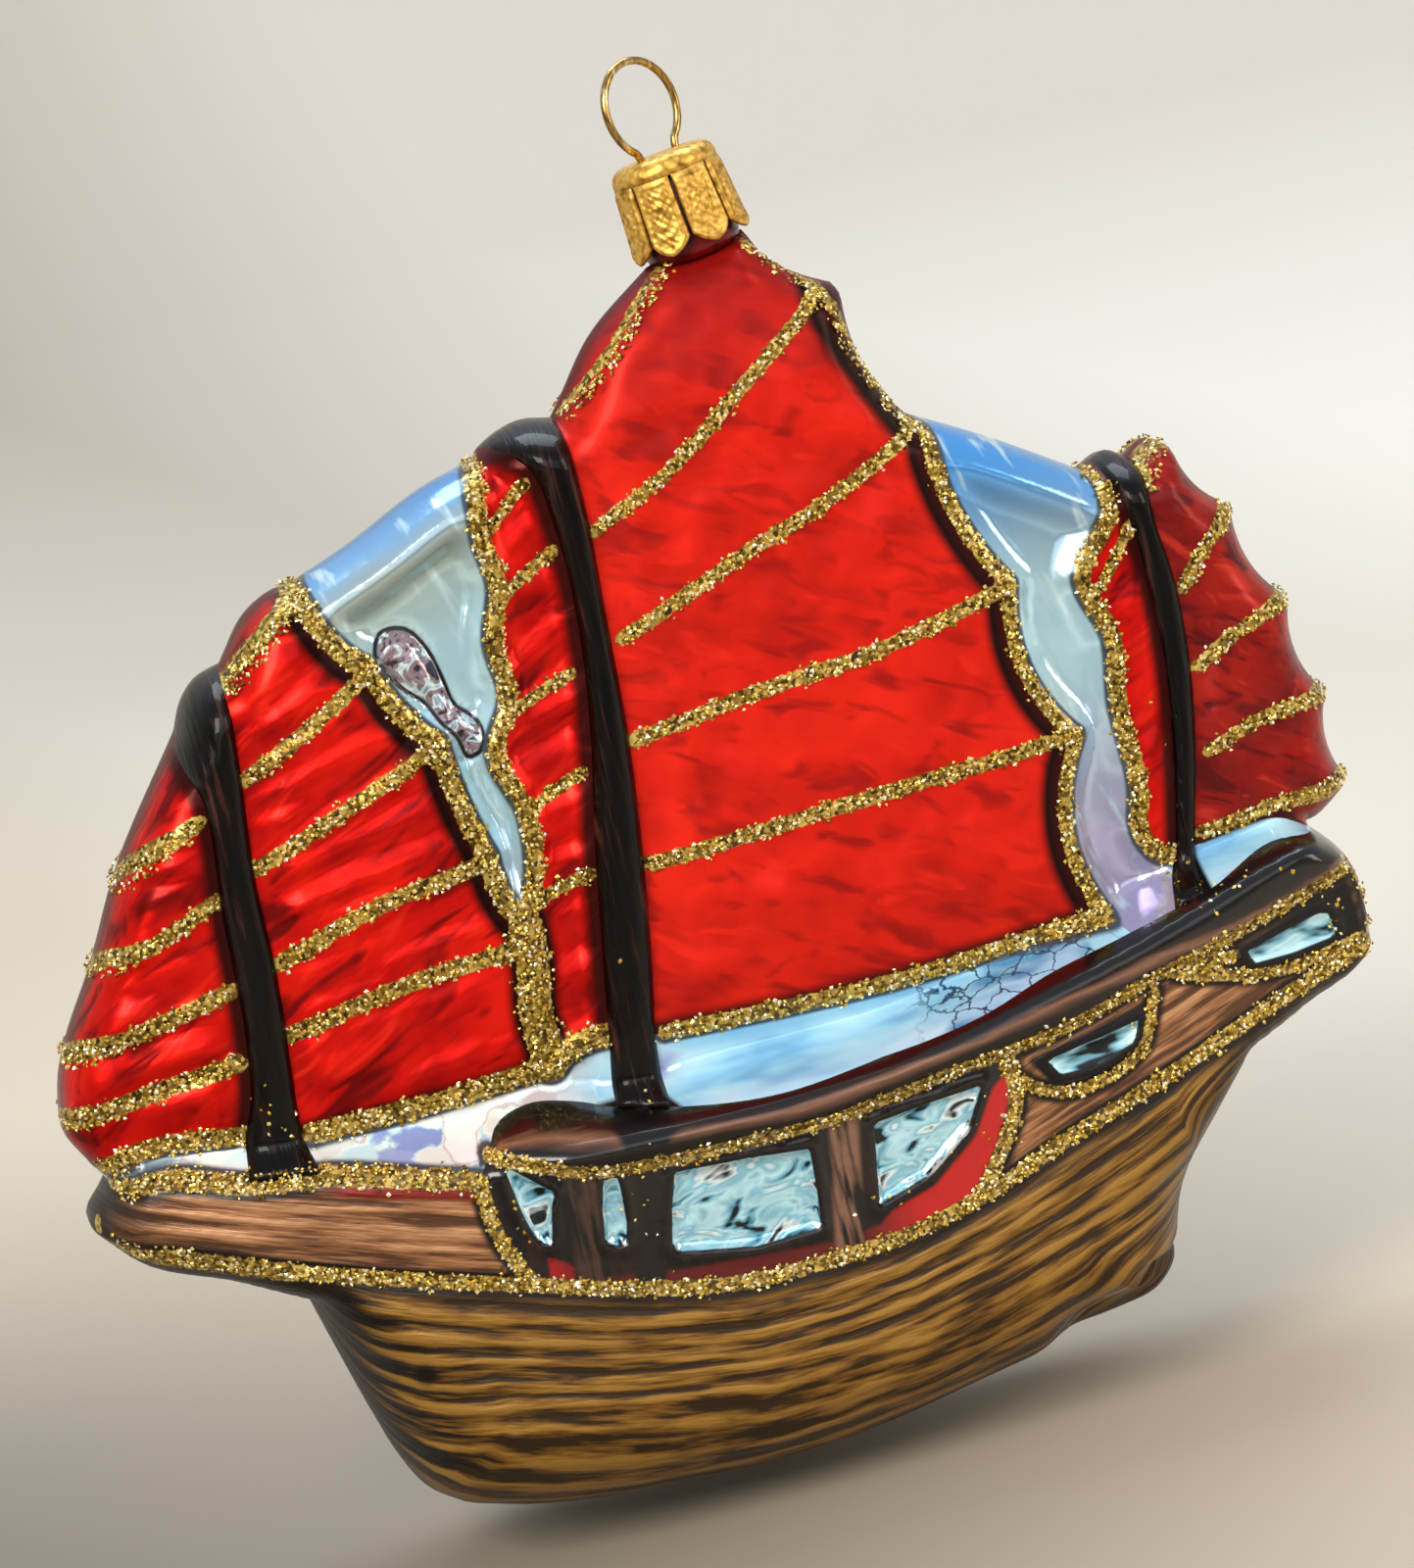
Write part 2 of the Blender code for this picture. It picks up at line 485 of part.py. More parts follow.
def make_ring(neck):
    """The wire ring with its two spring legs."""
    curve = bpy.data.curves.new("hanging_ring", "CURVE")
    curve.dimensions = "3D"
    curve.bevel_depth = WIRE_RADIUS * MM
    curve.bevel_resolution = 2
    curve.use_fill_caps = True
    spline = curve.splines.new("POLY")
    path = ring_path()
    spline.points.add(len(path) - 1)
    yaw = math.radians(RING_YAW)
    for point, (across, height) in zip(spline.points, path):
        point.co = (across * math.cos(yaw) * MM, across * math.sin(yaw) * MM, height * MM, 1)
    new_object("hanging_ring", curve, material("hanging_ring", (0.8, 0.62, 0.28), 0.2, 1.0), neck)


def main():
    for thing in list(bpy.data.objects):
        bpy.data.objects.remove(thing, do_unlink=True)
    neck = bpy.data.objects.new("neck_axis", None)
    neck.rotation_euler = (0, -math.radians(NECK_TILT), 0)
    bpy.context.scene.collection.objects.link(neck)
    make_ring(neck)
    make_cap(neck)
    make_neck(neck)
    make_glass_body()


main()
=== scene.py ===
# The looks of a mouth-blown glass ornament in the shape of a junk. One mould gives the whole hull
# and all three sails as one silvered shell, which is lacquered by hand and edged with glitter.
# Lines of the side view are lists of (x, z) points in mm. The bow is towards -X, port is -Y.

import math

import bmesh
import bpy
import numpy as np
from mathutils import Matrix, Vector, noise
from mathutils.bvhtree import BVHTree


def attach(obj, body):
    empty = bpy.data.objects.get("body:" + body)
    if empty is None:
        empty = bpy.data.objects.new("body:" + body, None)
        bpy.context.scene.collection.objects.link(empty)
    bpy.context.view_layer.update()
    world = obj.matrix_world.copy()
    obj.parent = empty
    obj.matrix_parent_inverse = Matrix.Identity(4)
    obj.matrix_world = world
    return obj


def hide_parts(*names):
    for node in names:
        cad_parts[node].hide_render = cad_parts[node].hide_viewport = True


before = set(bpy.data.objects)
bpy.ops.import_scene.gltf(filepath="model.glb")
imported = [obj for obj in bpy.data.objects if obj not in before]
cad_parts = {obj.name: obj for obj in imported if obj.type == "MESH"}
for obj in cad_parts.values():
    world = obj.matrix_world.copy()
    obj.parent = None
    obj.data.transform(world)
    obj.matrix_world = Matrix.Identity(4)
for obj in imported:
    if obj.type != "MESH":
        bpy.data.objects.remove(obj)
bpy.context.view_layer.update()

MM = 0.001
GRID = 0.5              # mm between the cuts that carry the body's curvature
STEP = 1.0              # mm between points along a smooth line

# The neck, cap and ring, measured from the origin down the neck axis
NECK_TILT = 8.0
NECK_BASE = 17.5
NECK_BASE_RADIUS = 4.6
NECK_RADIUS = 4.3
NECK_TOP = 9.4
NECK_BORE = 3.5
NECK_FLOOR = 0.8
WIRE_RADIUS = 0.375
RING_RADIUS = 4.4
RING_YAW = 35.0
LEG_SPACING = 2.3
CAP_TOP = 8.4
CAP_HEIGHT = 8.8
CAP_PETALS = 8
PETAL_START = 1.8
NECK = Matrix.Rotation(-math.radians(NECK_TILT), 4, "Y")


# Lines

def on_neck(down, across):
    """A point in the side view, measured down the neck axis and across it towards the stern."""
    point = NECK @ Vector((across, 0, -down))
    return (point.x, point.z)


def smooth(line, first=0, last=None):
    """A smooth curve through a line's points, from one of them to another."""
    last = len(line) - 1 if last is None else last
    points = [Vector(point) for point in line]
    steps = [(b - a).length for a, b in zip(points, points[1:])]
    ways = [(b - a) / step for a, b, step in zip(points, points[1:], steps)]
    turns = [ways[0]]
    for before, after, back_step, step in zip(ways, ways[1:], steps, steps[1:]):
        turns.append((before * step + after * back_step) / (step + back_step))
    turns.append(ways[-1])
    curve = []
    for i in range(first, last):
        count = max(1, math.ceil(steps[i] / STEP))
        for k in range(count):
            t = k / count
            point = (points[i] * (2 * t**3 - 3 * t**2 + 1) + points[i + 1] * (3 * t**2 - 2 * t**3)
                     + turns[i] * steps[i] * (t**3 - 2 * t**2 + t)
                     + turns[i + 1] * steps[i] * (t**3 - t**2))
            curve.append((point.x, point.y))
    curve.append(tuple(line[last]))
    return curve


def scallops(corners):
    """A scalloped edge. Each corner is x, z and the hollow of the arc that follows it."""
    line = []
    for (x, z, depth), (next_x, next_z, _) in zip(corners, corners[1:]):
        dx, dz = next_x - x, next_z - z
        length = math.hypot(dx, dz)
        count = max(2, math.ceil(length / STEP))
        for k in range(count + 1):
            t = k / count
            hollow = 4 * depth * t * (1 - t) / length
            line.append((x + dx * t + dz * hollow, z + dz * t - dx * hollow))
    return line


def back(line):
    return list(reversed(line))


def outline(*lines):
    """A closed outline from lines laid end to end, with no point twice in a row."""
    points = []
    for line in lines:
        for point in line:
            if not points or math.dist(points[-1], point) > 0.03:
                points.append(point)
    if math.dist(points[0], points[-1]) <= 0.03:
        points.pop()
    return points


NECK_FORE = on_neck(NECK_BASE, -NECK_BASE_RADIUS)
NECK_AFT = on_neck(NECK_BASE, NECK_BASE_RADIUS)

MAIN_PEAK_AFT = smooth([NECK_AFT, (8.5, -19.5), (11.5, -22), (14, -23.3)])
MAIN_PEAK_FORE = smooth([(-14, -29.2), (-12.7, -27.6), (-9, -23), NECK_FORE])
MAIN_LEECH_TOP = scallops([(14.5, -24.5, 1.3), (18, -36.6, 0)])
MAIN_LEECH = scallops([(18, -36.6, 1.4), (22.4, -53.4, 2), (25.3, -68.4, 2.3), (24, -85, 0)])
MAIN_FOOT = smooth([(-19.2, -85), (2, -86), (24, -85)])
MAIN_MAST_HEAD = smooth([(-21.3, -30.3), (-19, -29.2), (-16.9, -28.7), (-14, -29.2)])
MAIN_MAST_FORE = smooth([(-21.3, -30.3), (-18, -32.6), (-17, -38), (-17.1, -48), (-18.5, -58),
                         (-20.2, -66), (-22, -76), (-23.3, -83.8)])
MAIN_MAST_AFT = smooth([(-14, -29.2), (-13.8, -36), (-14.4, -48), (-15, -58), (-16.2, -68),
                        (-17.8, -78), (-19.2, -85)])
MAIN_LUFF = smooth([(-22, -31.2), (-23.6, -37), (-23.2, -42), (-24.8, -47), (-24.6, -52),
                    (-27, -56.5), (-25.6, -62.5), (-26.2, -68), (-28.2, -72.5)])
SAILS_MEET = smooth([(-28.2, -72.5), (-28.3, -75), (-29.2, -80), (-29, -85.3)])
MAIN_LUFF_FOOT = smooth([(-29, -85.3), (-26, -84.1), (-23.3, -83.8)])

FORE_HEAD = smooth([(-48.8, -43.6), (-45.3, -39.6), (-42.7, -38.3), (-40.6, -38)])
FORE_LEECH = scallops([(-40.6, -38, 1), (-36.3, -46.5, 0.6), (-31.9, -54.5, 0.4),
                       (-30, -65.5, 0.6), (-28.2, -72.5, 0)])
FORE_FOOT = smooth([(-52.4, -85.7), (-40, -85.8), (-29, -85.3)])
FORE_MAST_HEAD = smooth([(-54.3, -48.6), (-53, -46), (-51.3, -44.4), (-48.8, -43.6)])
FORE_MAST_FORE = smooth([(-54.3, -48.6), (-53.5, -54), (-54.4, -65), (-55.1, -76), (-56.2, -82),
                         (-57.3, -84.6)])
FORE_MAST_AFT = smooth([(-48.8, -43.6), (-49.6, -52.5), (-50.7, -62), (-51, -71.5),
                        (-51.9, -80.5), (-52.4, -85.7)])
FORE_LUFF = smooth([(-71.4, -85.1), (-73.1, -81.2), (-72.7, -78.3), (-66.2, -66.2),
                    (-63.1, -60.5), (-54.3, -48.6)])
FORE_LUFF_FOOT = smooth([(-71.4, -85.1), (-66, -83.7), (-61.7, -84), (-57.3, -84.6)])

FORE_WEB_TOP = smooth([(-40.6, -38), (-35.3, -36.1), (-26.1, -32.2), (-22, -31.2)])
AFT_WEB_TOP = smooth([(18, -36.6), (24.6, -40.3), (33, -45.7)])

MIZZEN_LUFF = smooth([(33, -45.7), (33.5, -48.3), (29.2, -54.8), (30.7, -60.2), (29.9, -66.6),
                      (30, -74.2), (29.3, -79.2), (30.6, -81.2), (32, -81.5)])
MIZZEN_MAST_HEAD = smooth([(34.2, -45.2), (35.8, -44.6), (37.6, -45.6)])
MIZZEN_MAST_FORE = smooth([(34.2, -45.2), (34.7, -49), (35.3, -57.3), (35, -65), (34, -72),
                           (32, -81.5)])
MIZZEN_MAST_AFT = smooth([(37.6, -45.6), (37.2, -49.5), (37.8, -57.3), (37.4, -65),
                          (36.2, -72), (33.9, -81.2)])
MIZZEN_HEAD = smooth([(37.6, -45.6), (39.9, -44.4), (41.7, -45.6)])
MIZZEN_LEECH = scallops([(41.7, -45.6, 0.9), (46.1, -52.2, 1.3), (49.6, -61.9, 1.3),
                         (51.3, -71.5, 1.2), (51.7, -80.1, 0)])
MIZZEN_FOOT = [(33.9, -81.2), (43, -81.1), (46.2, -83.1), (50, -81.6), (51.7, -80.1)]

BOW_TOP = [(-70.4, -86.6), (-65, -86.4), (-58, -88.2), (-51.6, -88.9), (-44, -90.8),
           (-38.3, -92.4)]
BOW_SLANT = smooth([(-38.3, -92.4), (-38, -97.2), (-35.8, -103)])
RAIL_TOP = [(-36.8, -90.8), (-35.6, -89.2), (-32.3, -88.1), (-28, -88.8), (-24.4, -90),
            (-19.7, -90.9), (-9.9, -91.9), (-2.4, -91.5), (9.1, -90), (17.2, -87.9),
            (25, -86.4), (29.6, -85.4), (32.6, -84.7), (42.5, -82.3), (46.2, -83.1)]
RAIL_BOTTOM = [(-36.8, -90.8), (-32.2, -92.8), (-28.9, -94), (-21.8, -94.9), (-12.7, -95.2),
               (-6.3, -95.3), (-1.5, -94.8), (6.2, -93.9), (10.8, -93.5), (15.7, -92.9),
               (25.7, -90.6), (35.6, -88.7), (43, -86.9), (48.3, -85.4)]
CABIN_END = smooth([(10.8, -93.5), (10.8, -97.9), (8.1, -102.8), (5.5, -106.1)])
GUNWALE = [(-72.7, -91.2), (-65.3, -93.6), (-56.9, -96.6), (-48.3, -99.3), (-35.8, -103),
           (-26.1, -105.9), (-17.3, -107.8), (-9.9, -108), (-2.4, -107.7), (5.5, -106.1),
           (15.7, -102.6), (27.9, -99.1), (40.3, -95.3), (49, -93.1)]
BOW_TIP = smooth([(-70.4, -86.6), (-71.3, -87.8), (-72.9, -89.6), (-72.7, -91.2)])
BOW_UNDERSIDE = smooth([(-72.7, -91.2), (-69.4, -94.9), (-61.1, -98.8), (-55.4, -102)])
STEM = smooth([(-55.4, -102), (-54, -107.8), (-52.1, -115.2), (-50.8, -119.5),
               (-49.2, -122.7), (-46, -125.2)])
KEEL = smooth([(-46, -125.2), (-40.7, -126.8), (-24.8, -128.7), (-15.2, -129.2),
               (-5.2, -128.4), (4.9, -126.8), (13.7, -125.4)])
RUDDER_FORE = smooth([(25.5, -118.3), (21.4, -121.2), (13.7, -125.4)])
RUDDER_AFT = smooth([(25.5, -118.3), (25.8, -121), (23.4, -123.9), (19.2, -124.9),
                     (13.7, -125.4)])
TRANSOM = smooth([(35.2, -101.9), (31.6, -106.1), (26.8, -113.7), (25.5, -118.3)])
STERN_OVERHANG = smooth([(49, -93.1), (48.9, -94.7), (47.1, -96.4), (40.5, -99.8),
                         (35.2, -101.9)])
STERN_END = smooth([(48.3, -85.4), (48.9, -87), (49.2, -90), (49, -93.1)])
STERN_TOP = smooth([(46.2, -83.1), (47.4, -84.3), (48.3, -85.4)])

SILHOUETTE = outline(
    [NECK_FORE], MAIN_PEAK_AFT, MAIN_LEECH_TOP, AFT_WEB_TOP, MIZZEN_MAST_HEAD, MIZZEN_HEAD,
    MIZZEN_LEECH, back(smooth(MIZZEN_FOOT, 2, 4)), STERN_TOP, STERN_END, STERN_OVERHANG,
    TRANSOM, RUDDER_AFT, back(KEEL), back(STEM), back(BOW_UNDERSIDE), back(BOW_TIP),
    FORE_LUFF, FORE_MAST_HEAD, FORE_HEAD, FORE_WEB_TOP, MAIN_MAST_HEAD, MAIN_PEAK_FORE)

# The zones of the glass: CAD node, outline, kind of relief, its height and its reach in mm,
# finish, record slot
ZONES = [
    ("main_sail_leech", outline([NECK_FORE], MAIN_PEAK_AFT, MAIN_LEECH_TOP, MAIN_LEECH,
                                back(MAIN_FOOT), back(MAIN_MAST_AFT), MAIN_PEAK_FORE),
     "dented", 0.9, 6.0, "satin_red", "red_lacquered_glass"),
    ("main_sail_luff", outline([MAIN_LUFF[0]], MAIN_MAST_FORE, back(MAIN_LUFF_FOOT),
                               back(SAILS_MEET), back(MAIN_LUFF)),
     "pleated", -0.9, 2.2, "gloss_red", "red_lacquered_glass"),
    ("main_mast", outline(MAIN_MAST_HEAD, MAIN_MAST_AFT, back(smooth(RAIL_TOP, 4, 5)),
                          back(MAIN_MAST_FORE)),
     "round", 1.5, 1.7, "black_spar", "black_lacquered_glass"),
    ("fore_sail_leech", outline(FORE_HEAD, FORE_LEECH, SAILS_MEET, back(FORE_FOOT),
                                back(FORE_MAST_AFT)),
     "pleated", 0.9, 4.0, "gloss_red", "red_lacquered_glass"),
    ("fore_sail_luff", outline(back(FORE_LUFF_FOOT), FORE_LUFF, FORE_MAST_FORE),
     "pleated", 0.7, 4.0, "gloss_red", "red_lacquered_glass"),
    ("fore_mast", outline(FORE_MAST_HEAD, FORE_MAST_AFT, back(smooth(BOW_TOP, 2, 3)),
                          back(FORE_MAST_FORE)),
     "round", 1.3, 1.7, "black_spar", "black_lacquered_glass"),
    ("mizzen_sail_luff", outline([MIZZEN_LUFF[0]], MIZZEN_MAST_FORE, back(MIZZEN_LUFF)),
     "pleated", 0.3, 2.0, "gloss_red", "red_lacquered_glass"),
    ("mizzen_mast", outline(MIZZEN_MAST_HEAD, MIZZEN_MAST_AFT, back(smooth(RAIL_TOP, 11, 12)),
                            back(MIZZEN_MAST_FORE)),
     "round", 0.9, 1.2, "black_spar", "black_lacquered_glass"),
    ("mizzen_sail_leech", outline(MIZZEN_HEAD, MIZZEN_LEECH, back(smooth(MIZZEN_FOOT)),
                                  back(MIZZEN_MAST_AFT)),
     "pleated", 0.5, 3.0, "deep_red", "red_lacquered_glass"),
    ("fore_web", outline(FORE_WEB_TOP, MAIN_LUFF, back(FORE_LEECH)),
     "web", -2.0, 3.0, "silver_painted_reflections", "silvered_glass"),
    ("aft_web", outline(AFT_WEB_TOP, MIZZEN_LUFF, back(smooth(RAIL_TOP, 10, 11)),
                        back(MAIN_LEECH)),
     "web", -1.6, 3.0, "silver_painted_reflections", "silvered_glass"),
    ("bow_deck", outline(FORE_LUFF_FOOT, back(smooth(BOW_TOP, 0, 2))),
     "web", -0.5, 1.5, "deck_silver_painted_reflections", "silvered_glass"),
    ("fore_deck", outline(FORE_FOOT, MAIN_LUFF_FOOT, back(smooth(RAIL_TOP, 0, 4)),
                          back(smooth(BOW_TOP, 3, 5))),
     "web", -0.7, 2.0, "deck_silver_painted_reflections", "silvered_glass"),
    ("midship_deck", outline(MAIN_FOOT, back(smooth(RAIL_TOP, 5, 10))),
     "web", -1.0, 2.5, "deck_silver_painted_reflections", "silvered_glass"),
    ("poop_deck", outline(smooth(MIZZEN_FOOT, 0, 2), back(smooth(RAIL_TOP, 12, 14))),
     "web", -0.3, 1.0, "deck_silver_painted_reflections", "silvered_glass"),
    ("sheer_rail", outline(smooth(RAIL_TOP), STERN_TOP, back(smooth(RAIL_BOTTOM))),
     "round", 1.3, 2.2, "brown_rail", "brown_lacquered_glass"),
    ("cabin_band", outline([BOW_TOP[-1]], smooth(RAIL_BOTTOM, 0, 8), CABIN_END,
                           back(smooth(GUNWALE, 4, 9)), back(BOW_SLANT)),
     "windows", -0.6, 1.0, "window_band", "silvered_glass"),
    ("bow_panel", outline(smooth(BOW_TOP), BOW_SLANT, back(smooth(GUNWALE, 0, 4)),
                          back(BOW_TIP)),
     "planked", 0.3, 2.0, "brown_panel", "plank_lacquered_glass"),
    ("stern_panel", outline(smooth(RAIL_BOTTOM, 8), STERN_END, back(smooth(GUNWALE, 9)),
                            back(CABIN_END)),
     "windows", -0.3, 1.0, "brown_panel", "plank_lacquered_glass"),
    ("hull", outline(smooth(GUNWALE), STERN_OVERHANG, TRANSOM, RUDDER_FORE, back(KEEL),
                     back(STEM), back(BOW_UNDERSIDE)),
     "planked", 0.5, 2.5, "brown_planks", "plank_lacquered_glass"),
    ("rudder", outline(RUDDER_AFT, back(RUDDER_FORE)),
     "round", 0.4, 2.0, "brown_planks", "plank_lacquered_glass"),
]

# Panes of the cabin and the stern, the black paint around the stern panes, the red paint below
# the cabin panes, the posts between them, the moulded lobe of the fore web, and the black paint
# that runs down from the masts
PANES = [
    [(-36, -91.6), (-34.8, -92.6), (-32, -95.2), (-32.6, -96.3), (-33.1, -98.7), (-33.4, -99.9),
     (-34.1, -99.5), (-34.9, -98.2), (-35.4, -95.8), (-35.7, -93.4)],
    [(-27.6, -95.1), (-26.3, -95.2), (-26.2, -96.2), (-26.4, -99.5), (-26.9, -101.5),
     (-27.8, -101.4), (-28.7, -100.6), (-28.3, -97.8)],
    [(-21.2, -96.2), (-14.5, -96.7), (-8.7, -97.4), (-8.9, -101.2), (-9.3, -104.8),
     (-15.5, -104.9), (-22.3, -103.5), (-22.9, -102.6), (-22.2, -99.5)],
    [(-2.5, -96.7), (3.3, -96.2), (8, -95.9), (5.8, -99.6), (1.2, -102.8), (-3.7, -104.3)],
    [(14.3, -95.3), (18.3, -94.7), (23.6, -94), (22.7, -95.9), (18.6, -97), (15.3, -96.9)],
    [(35.2, -90.9), (38.5, -90.2), (42.8, -89.4), (43.8, -89.7), (44.1, -91.9), (39.8, -92.3),
     (35.8, -92.2)],
]
STERN_FRAMES = [
    [(12.6, -94.8), (18.3, -93.8), (24, -92.7), (25.2, -92.8), (23.6, -96.8), (18.6, -97.9),
     (14.3, -97.7)],
    [(33.8, -91), (38, -89.4), (42.5, -88), (46.4, -87.2), (46.8, -91.8), (44.5, -92.7),
     (36, -93.2), (33.8, -92.4)],
]
RED_FRAME = [(-34.2, -100.4), (-32.6, -101.4), (-30, -103.6), (-22, -104.9), (-9, -106.1), (-4, -105.8),
             (-2.8, -104.8), (1.6, -103.6), (6.2, -100.2), (8.6, -96.4), (10.9, -94.8),
             (10.4, -98), (7.8, -102.6), (5, -106), (-2.4, -107.4), (-9.9, -107.7),
             (-17.3, -107.5), (-26, -105.6), (-34.5, -103)]
POSTS = [(-30.3, 3.2, "#3E2A1E"), (-24.6, 3.8, "#100A08"), (-5.9, 3.4, "#7A5644")]
POST_LEAN = 0.17        # forward for each mm down
WEB_LOBE = outline(smooth([(-35.4, -45.4), (-34.4, -43.8), (-32.2, -43.9), (-30.6, -46.2),
                           (-29.9, -49), (-29.3, -51.9), (-27.9, -53.2), (-28.1, -56),
                           (-29.3, -56.6), (-29.9, -54.6), (-31, -52.9), (-31.9, -51),
                           (-34, -48.6), (-35.4, -45.4)]))
MAST_FEET = [
    [(-26, -89.5), (-20.5, -89.4), (-18.3, -91.7), (-21, -92.8), (-22, -96), (-26, -95.5),
     (-25.2, -92.5)],
    [(31.2, -81.6), (33.9, -81.2), (33.4, -85.5), (33, -87.6), (29.6, -86.6), (30.4, -84)],
]

# Glitter lines: piece, line, width
MAIN_LEECH_LINE = scallops([(11.7, -23.6, 0.6), (16.8, -37.3, 0)])
GLITTER = [
    ("main", smooth([(0.2, -17.6), (-2.9, -20.2), (-6.7, -23.9), (-10.1, -26.9),
                     (-13.2, -29.2)]), 0.8),
    ("main", smooth([(6, -17.8), (8.2, -20.3), (11.7, -23.6)]), 0.8),
    ("main", MAIN_LEECH_LINE, 1.1),
    ("main", [(16.8, -37.3)] + MAIN_LEECH[2:], 1.6),
    ("main", MAIN_FOOT[1:], 1.7),
    ("main", smooth([(-13.6, -39.4), (-6.2, -35.9), (2.5, -30), (11.7, -23.6)]), 1.5),
    ("main", smooth([(-13.5, -49.4), (-1.1, -44.7), (7.9, -41.7), (16.8, -37.8)]), 1.5),
    ("main", smooth([(-14.5, -58.5), (-5, -57.2), (9.2, -56), (22.3, -53.5)]), 1.6),
    ("main", smooth([(-16, -69.8), (-7.9, -69.4), (11, -68.7), (25.3, -68.3)]), 1.6),
    ("luff", MAIN_LUFF, 1.8),
    ("luff", SAILS_MEET, 3.4),
    ("luff", MAIN_LUFF_FOOT, 2.4),
    ("luff", smooth([(-22.7, -37.2), (-18.6, -33.8)]), 1.2),
    ("luff", smooth([(-23.1, -43.2), (-17.6, -40.2)]), 1.3),
    ("luff", smooth([(-24.9, -53.5), (-18.6, -51.3)]), 1.3),
    ("luff", smooth([(-25.3, -62.4), (-19.8, -60.2)]), 1.3),
    ("luff", smooth([(-26.7, -70.5), (-21.4, -69.3)]), 1.4),
    ("fore", FORE_LEECH, 2.0),
    ("fore", [(-41.2, -38.4), (-41.1, -40.2)], 1.8),
    ("fore", FORE_FOOT[1:], 2.2),
    ("fore", FORE_LUFF_FOOT[1:], 2.0),
    ("fore", smooth([(-49, -45.6), (-45, -42.4), (-41.3, -39.6)]), 1.4),
    ("fore", smooth([(-49.4, -53.3), (-42.3, -49.9), (-36.3, -46.6)]), 1.6),
    ("fore", smooth([(-50.4, -61.3), (-42.7, -58.5), (-31.9, -54.6)]), 1.6),
    ("fore", smooth([(-50.6, -70.1), (-41.2, -67.2), (-30.2, -65.8)]), 1.7),
    ("fore", smooth([(-51.4, -76.6), (-41.3, -74.8), (-28.7, -74)]), 1.8),
    ("fore", smooth([(-64, -60.8), (-59, -58.4), (-54.2, -56)]), 1.5),
    ("fore", smooth([(-67.2, -67.5), (-60.2, -65.5), (-54.6, -63.2)]), 1.6),
    ("fore", smooth([(-71.2, -74.7), (-63.5, -73.1), (-55.4, -71.5)]), 1.8),
    ("fore", smooth([(-72.6, -80.1), (-65, -78.9), (-56.2, -78)]), 1.9),
    ("mizzen", MIZZEN_LUFF, 1.8),
    ("mizzen", smooth([(35, -50.8), (30.6, -55.9)]), 1.3),
    ("mizzen", smooth([(37.5, -48.4), (38.6, -46.2), (40.6, -44.9)]), 1.4),
    ("mizzen", smooth([(38.4, -57.8), (41.4, -54.5), (45.6, -52)]), 1.5),
    ("mizzen", smooth([(38, -65.2), (42.6, -62.9), (49.1, -61.6)]), 1.5),
    ("mizzen", smooth([(37.2, -73), (42.7, -71.4), (50.8, -71.2)]), 1.5),
    ("mizzen", smooth([(34.8, -80.2), (43, -79.6), (51.2, -79.3)]), 1.5),
    ("hull", smooth(RAIL_BOTTOM), 1.5),
    ("hull", smooth(GUNWALE), 1.6),
    ("hull", smooth([(x, z - 0.2) for x, z in BOW_TOP]), 1.8),
    ("hull", BOW_SLANT, 1.5),
    ("hull", CABIN_END, 1.6),
    ("hull", smooth([(-70.6, -87), (-71.7, -88.8), (-71.9, -90.6)]), 1.6),
    ("hull", smooth([(47.5, -85.6), (47.9, -87.8), (48.1, -90.6), (47.8, -93)]), 1.6),
    ("hull", smooth([(11.4, -96.4), (14.5, -98.4), (18.5, -98.6), (23.2, -96.8),
                     (25.7, -91.9)]), 1.3),
    ("hull", smooth([(28.5, -91.2), (32.4, -92.4), (37.6, -93.5), (46.5, -92.8)]), 1.3),
    ("hull", [(28, -90.9), (34, -90.9)], 1.3),
]

# Half thickness of the body, as tables of place and value
SAIL_HALF = [(-129, 11), (-84, 10.5), (-60, 9), (-30, 7), (-17, 4.5)]
SAIL_TAPER = [(-73, 0.6), (-50, 0.95), (-25, 1), (25, 1), (38, 0.9), (52, 0.75)]
HULL_HALF = 17.0
HULL_TAPER = [(-73, 0.45), (-60, 0.7), (-45, 0.9), (-30, 1), (20, 1), (52, 0.75)]
DECK_TOP = [(-73, -83.5), (-57, -85.3), (-38, -87.3), (-20, -88.2), (0, -88.2), (16, -85.8),
            (25, -84.2), (34, -81.6), (52, -80.5)]
DECK_LOW = [(-73, -87.2), (-58, -89.2), (-38, -92.7), (-20, -92.8), (0, -92.6), (16, -89.4),
            (25, -87.6), (42, -83.4), (52, -85)]
SEAM_ROUND = 4.0
STERN_ROUND = 2.2
STERN_START = (40, 47)
STERN_HEIGHTS = (-81, -84)
KEEL_ROUND = 12.0
BILGE_HEIGHTS = (-98, -112)
BILGE_END = (15, 35)
RUDDER_HEIGHTS = (-116, -121)
RUDDER_START = (8, 16)
RUDDER_SHARE = 0.35
PLANK = 1.8             # mm between the grooves of the planks


# The surface

def along(table, at):
    places, values = zip(*table)
    return np.interp(at, places, values)


def ease(low, high, at):
    t = np.clip((at - low) / (high - low), 0, 1)
    return t * t * (3 - 2 * t)


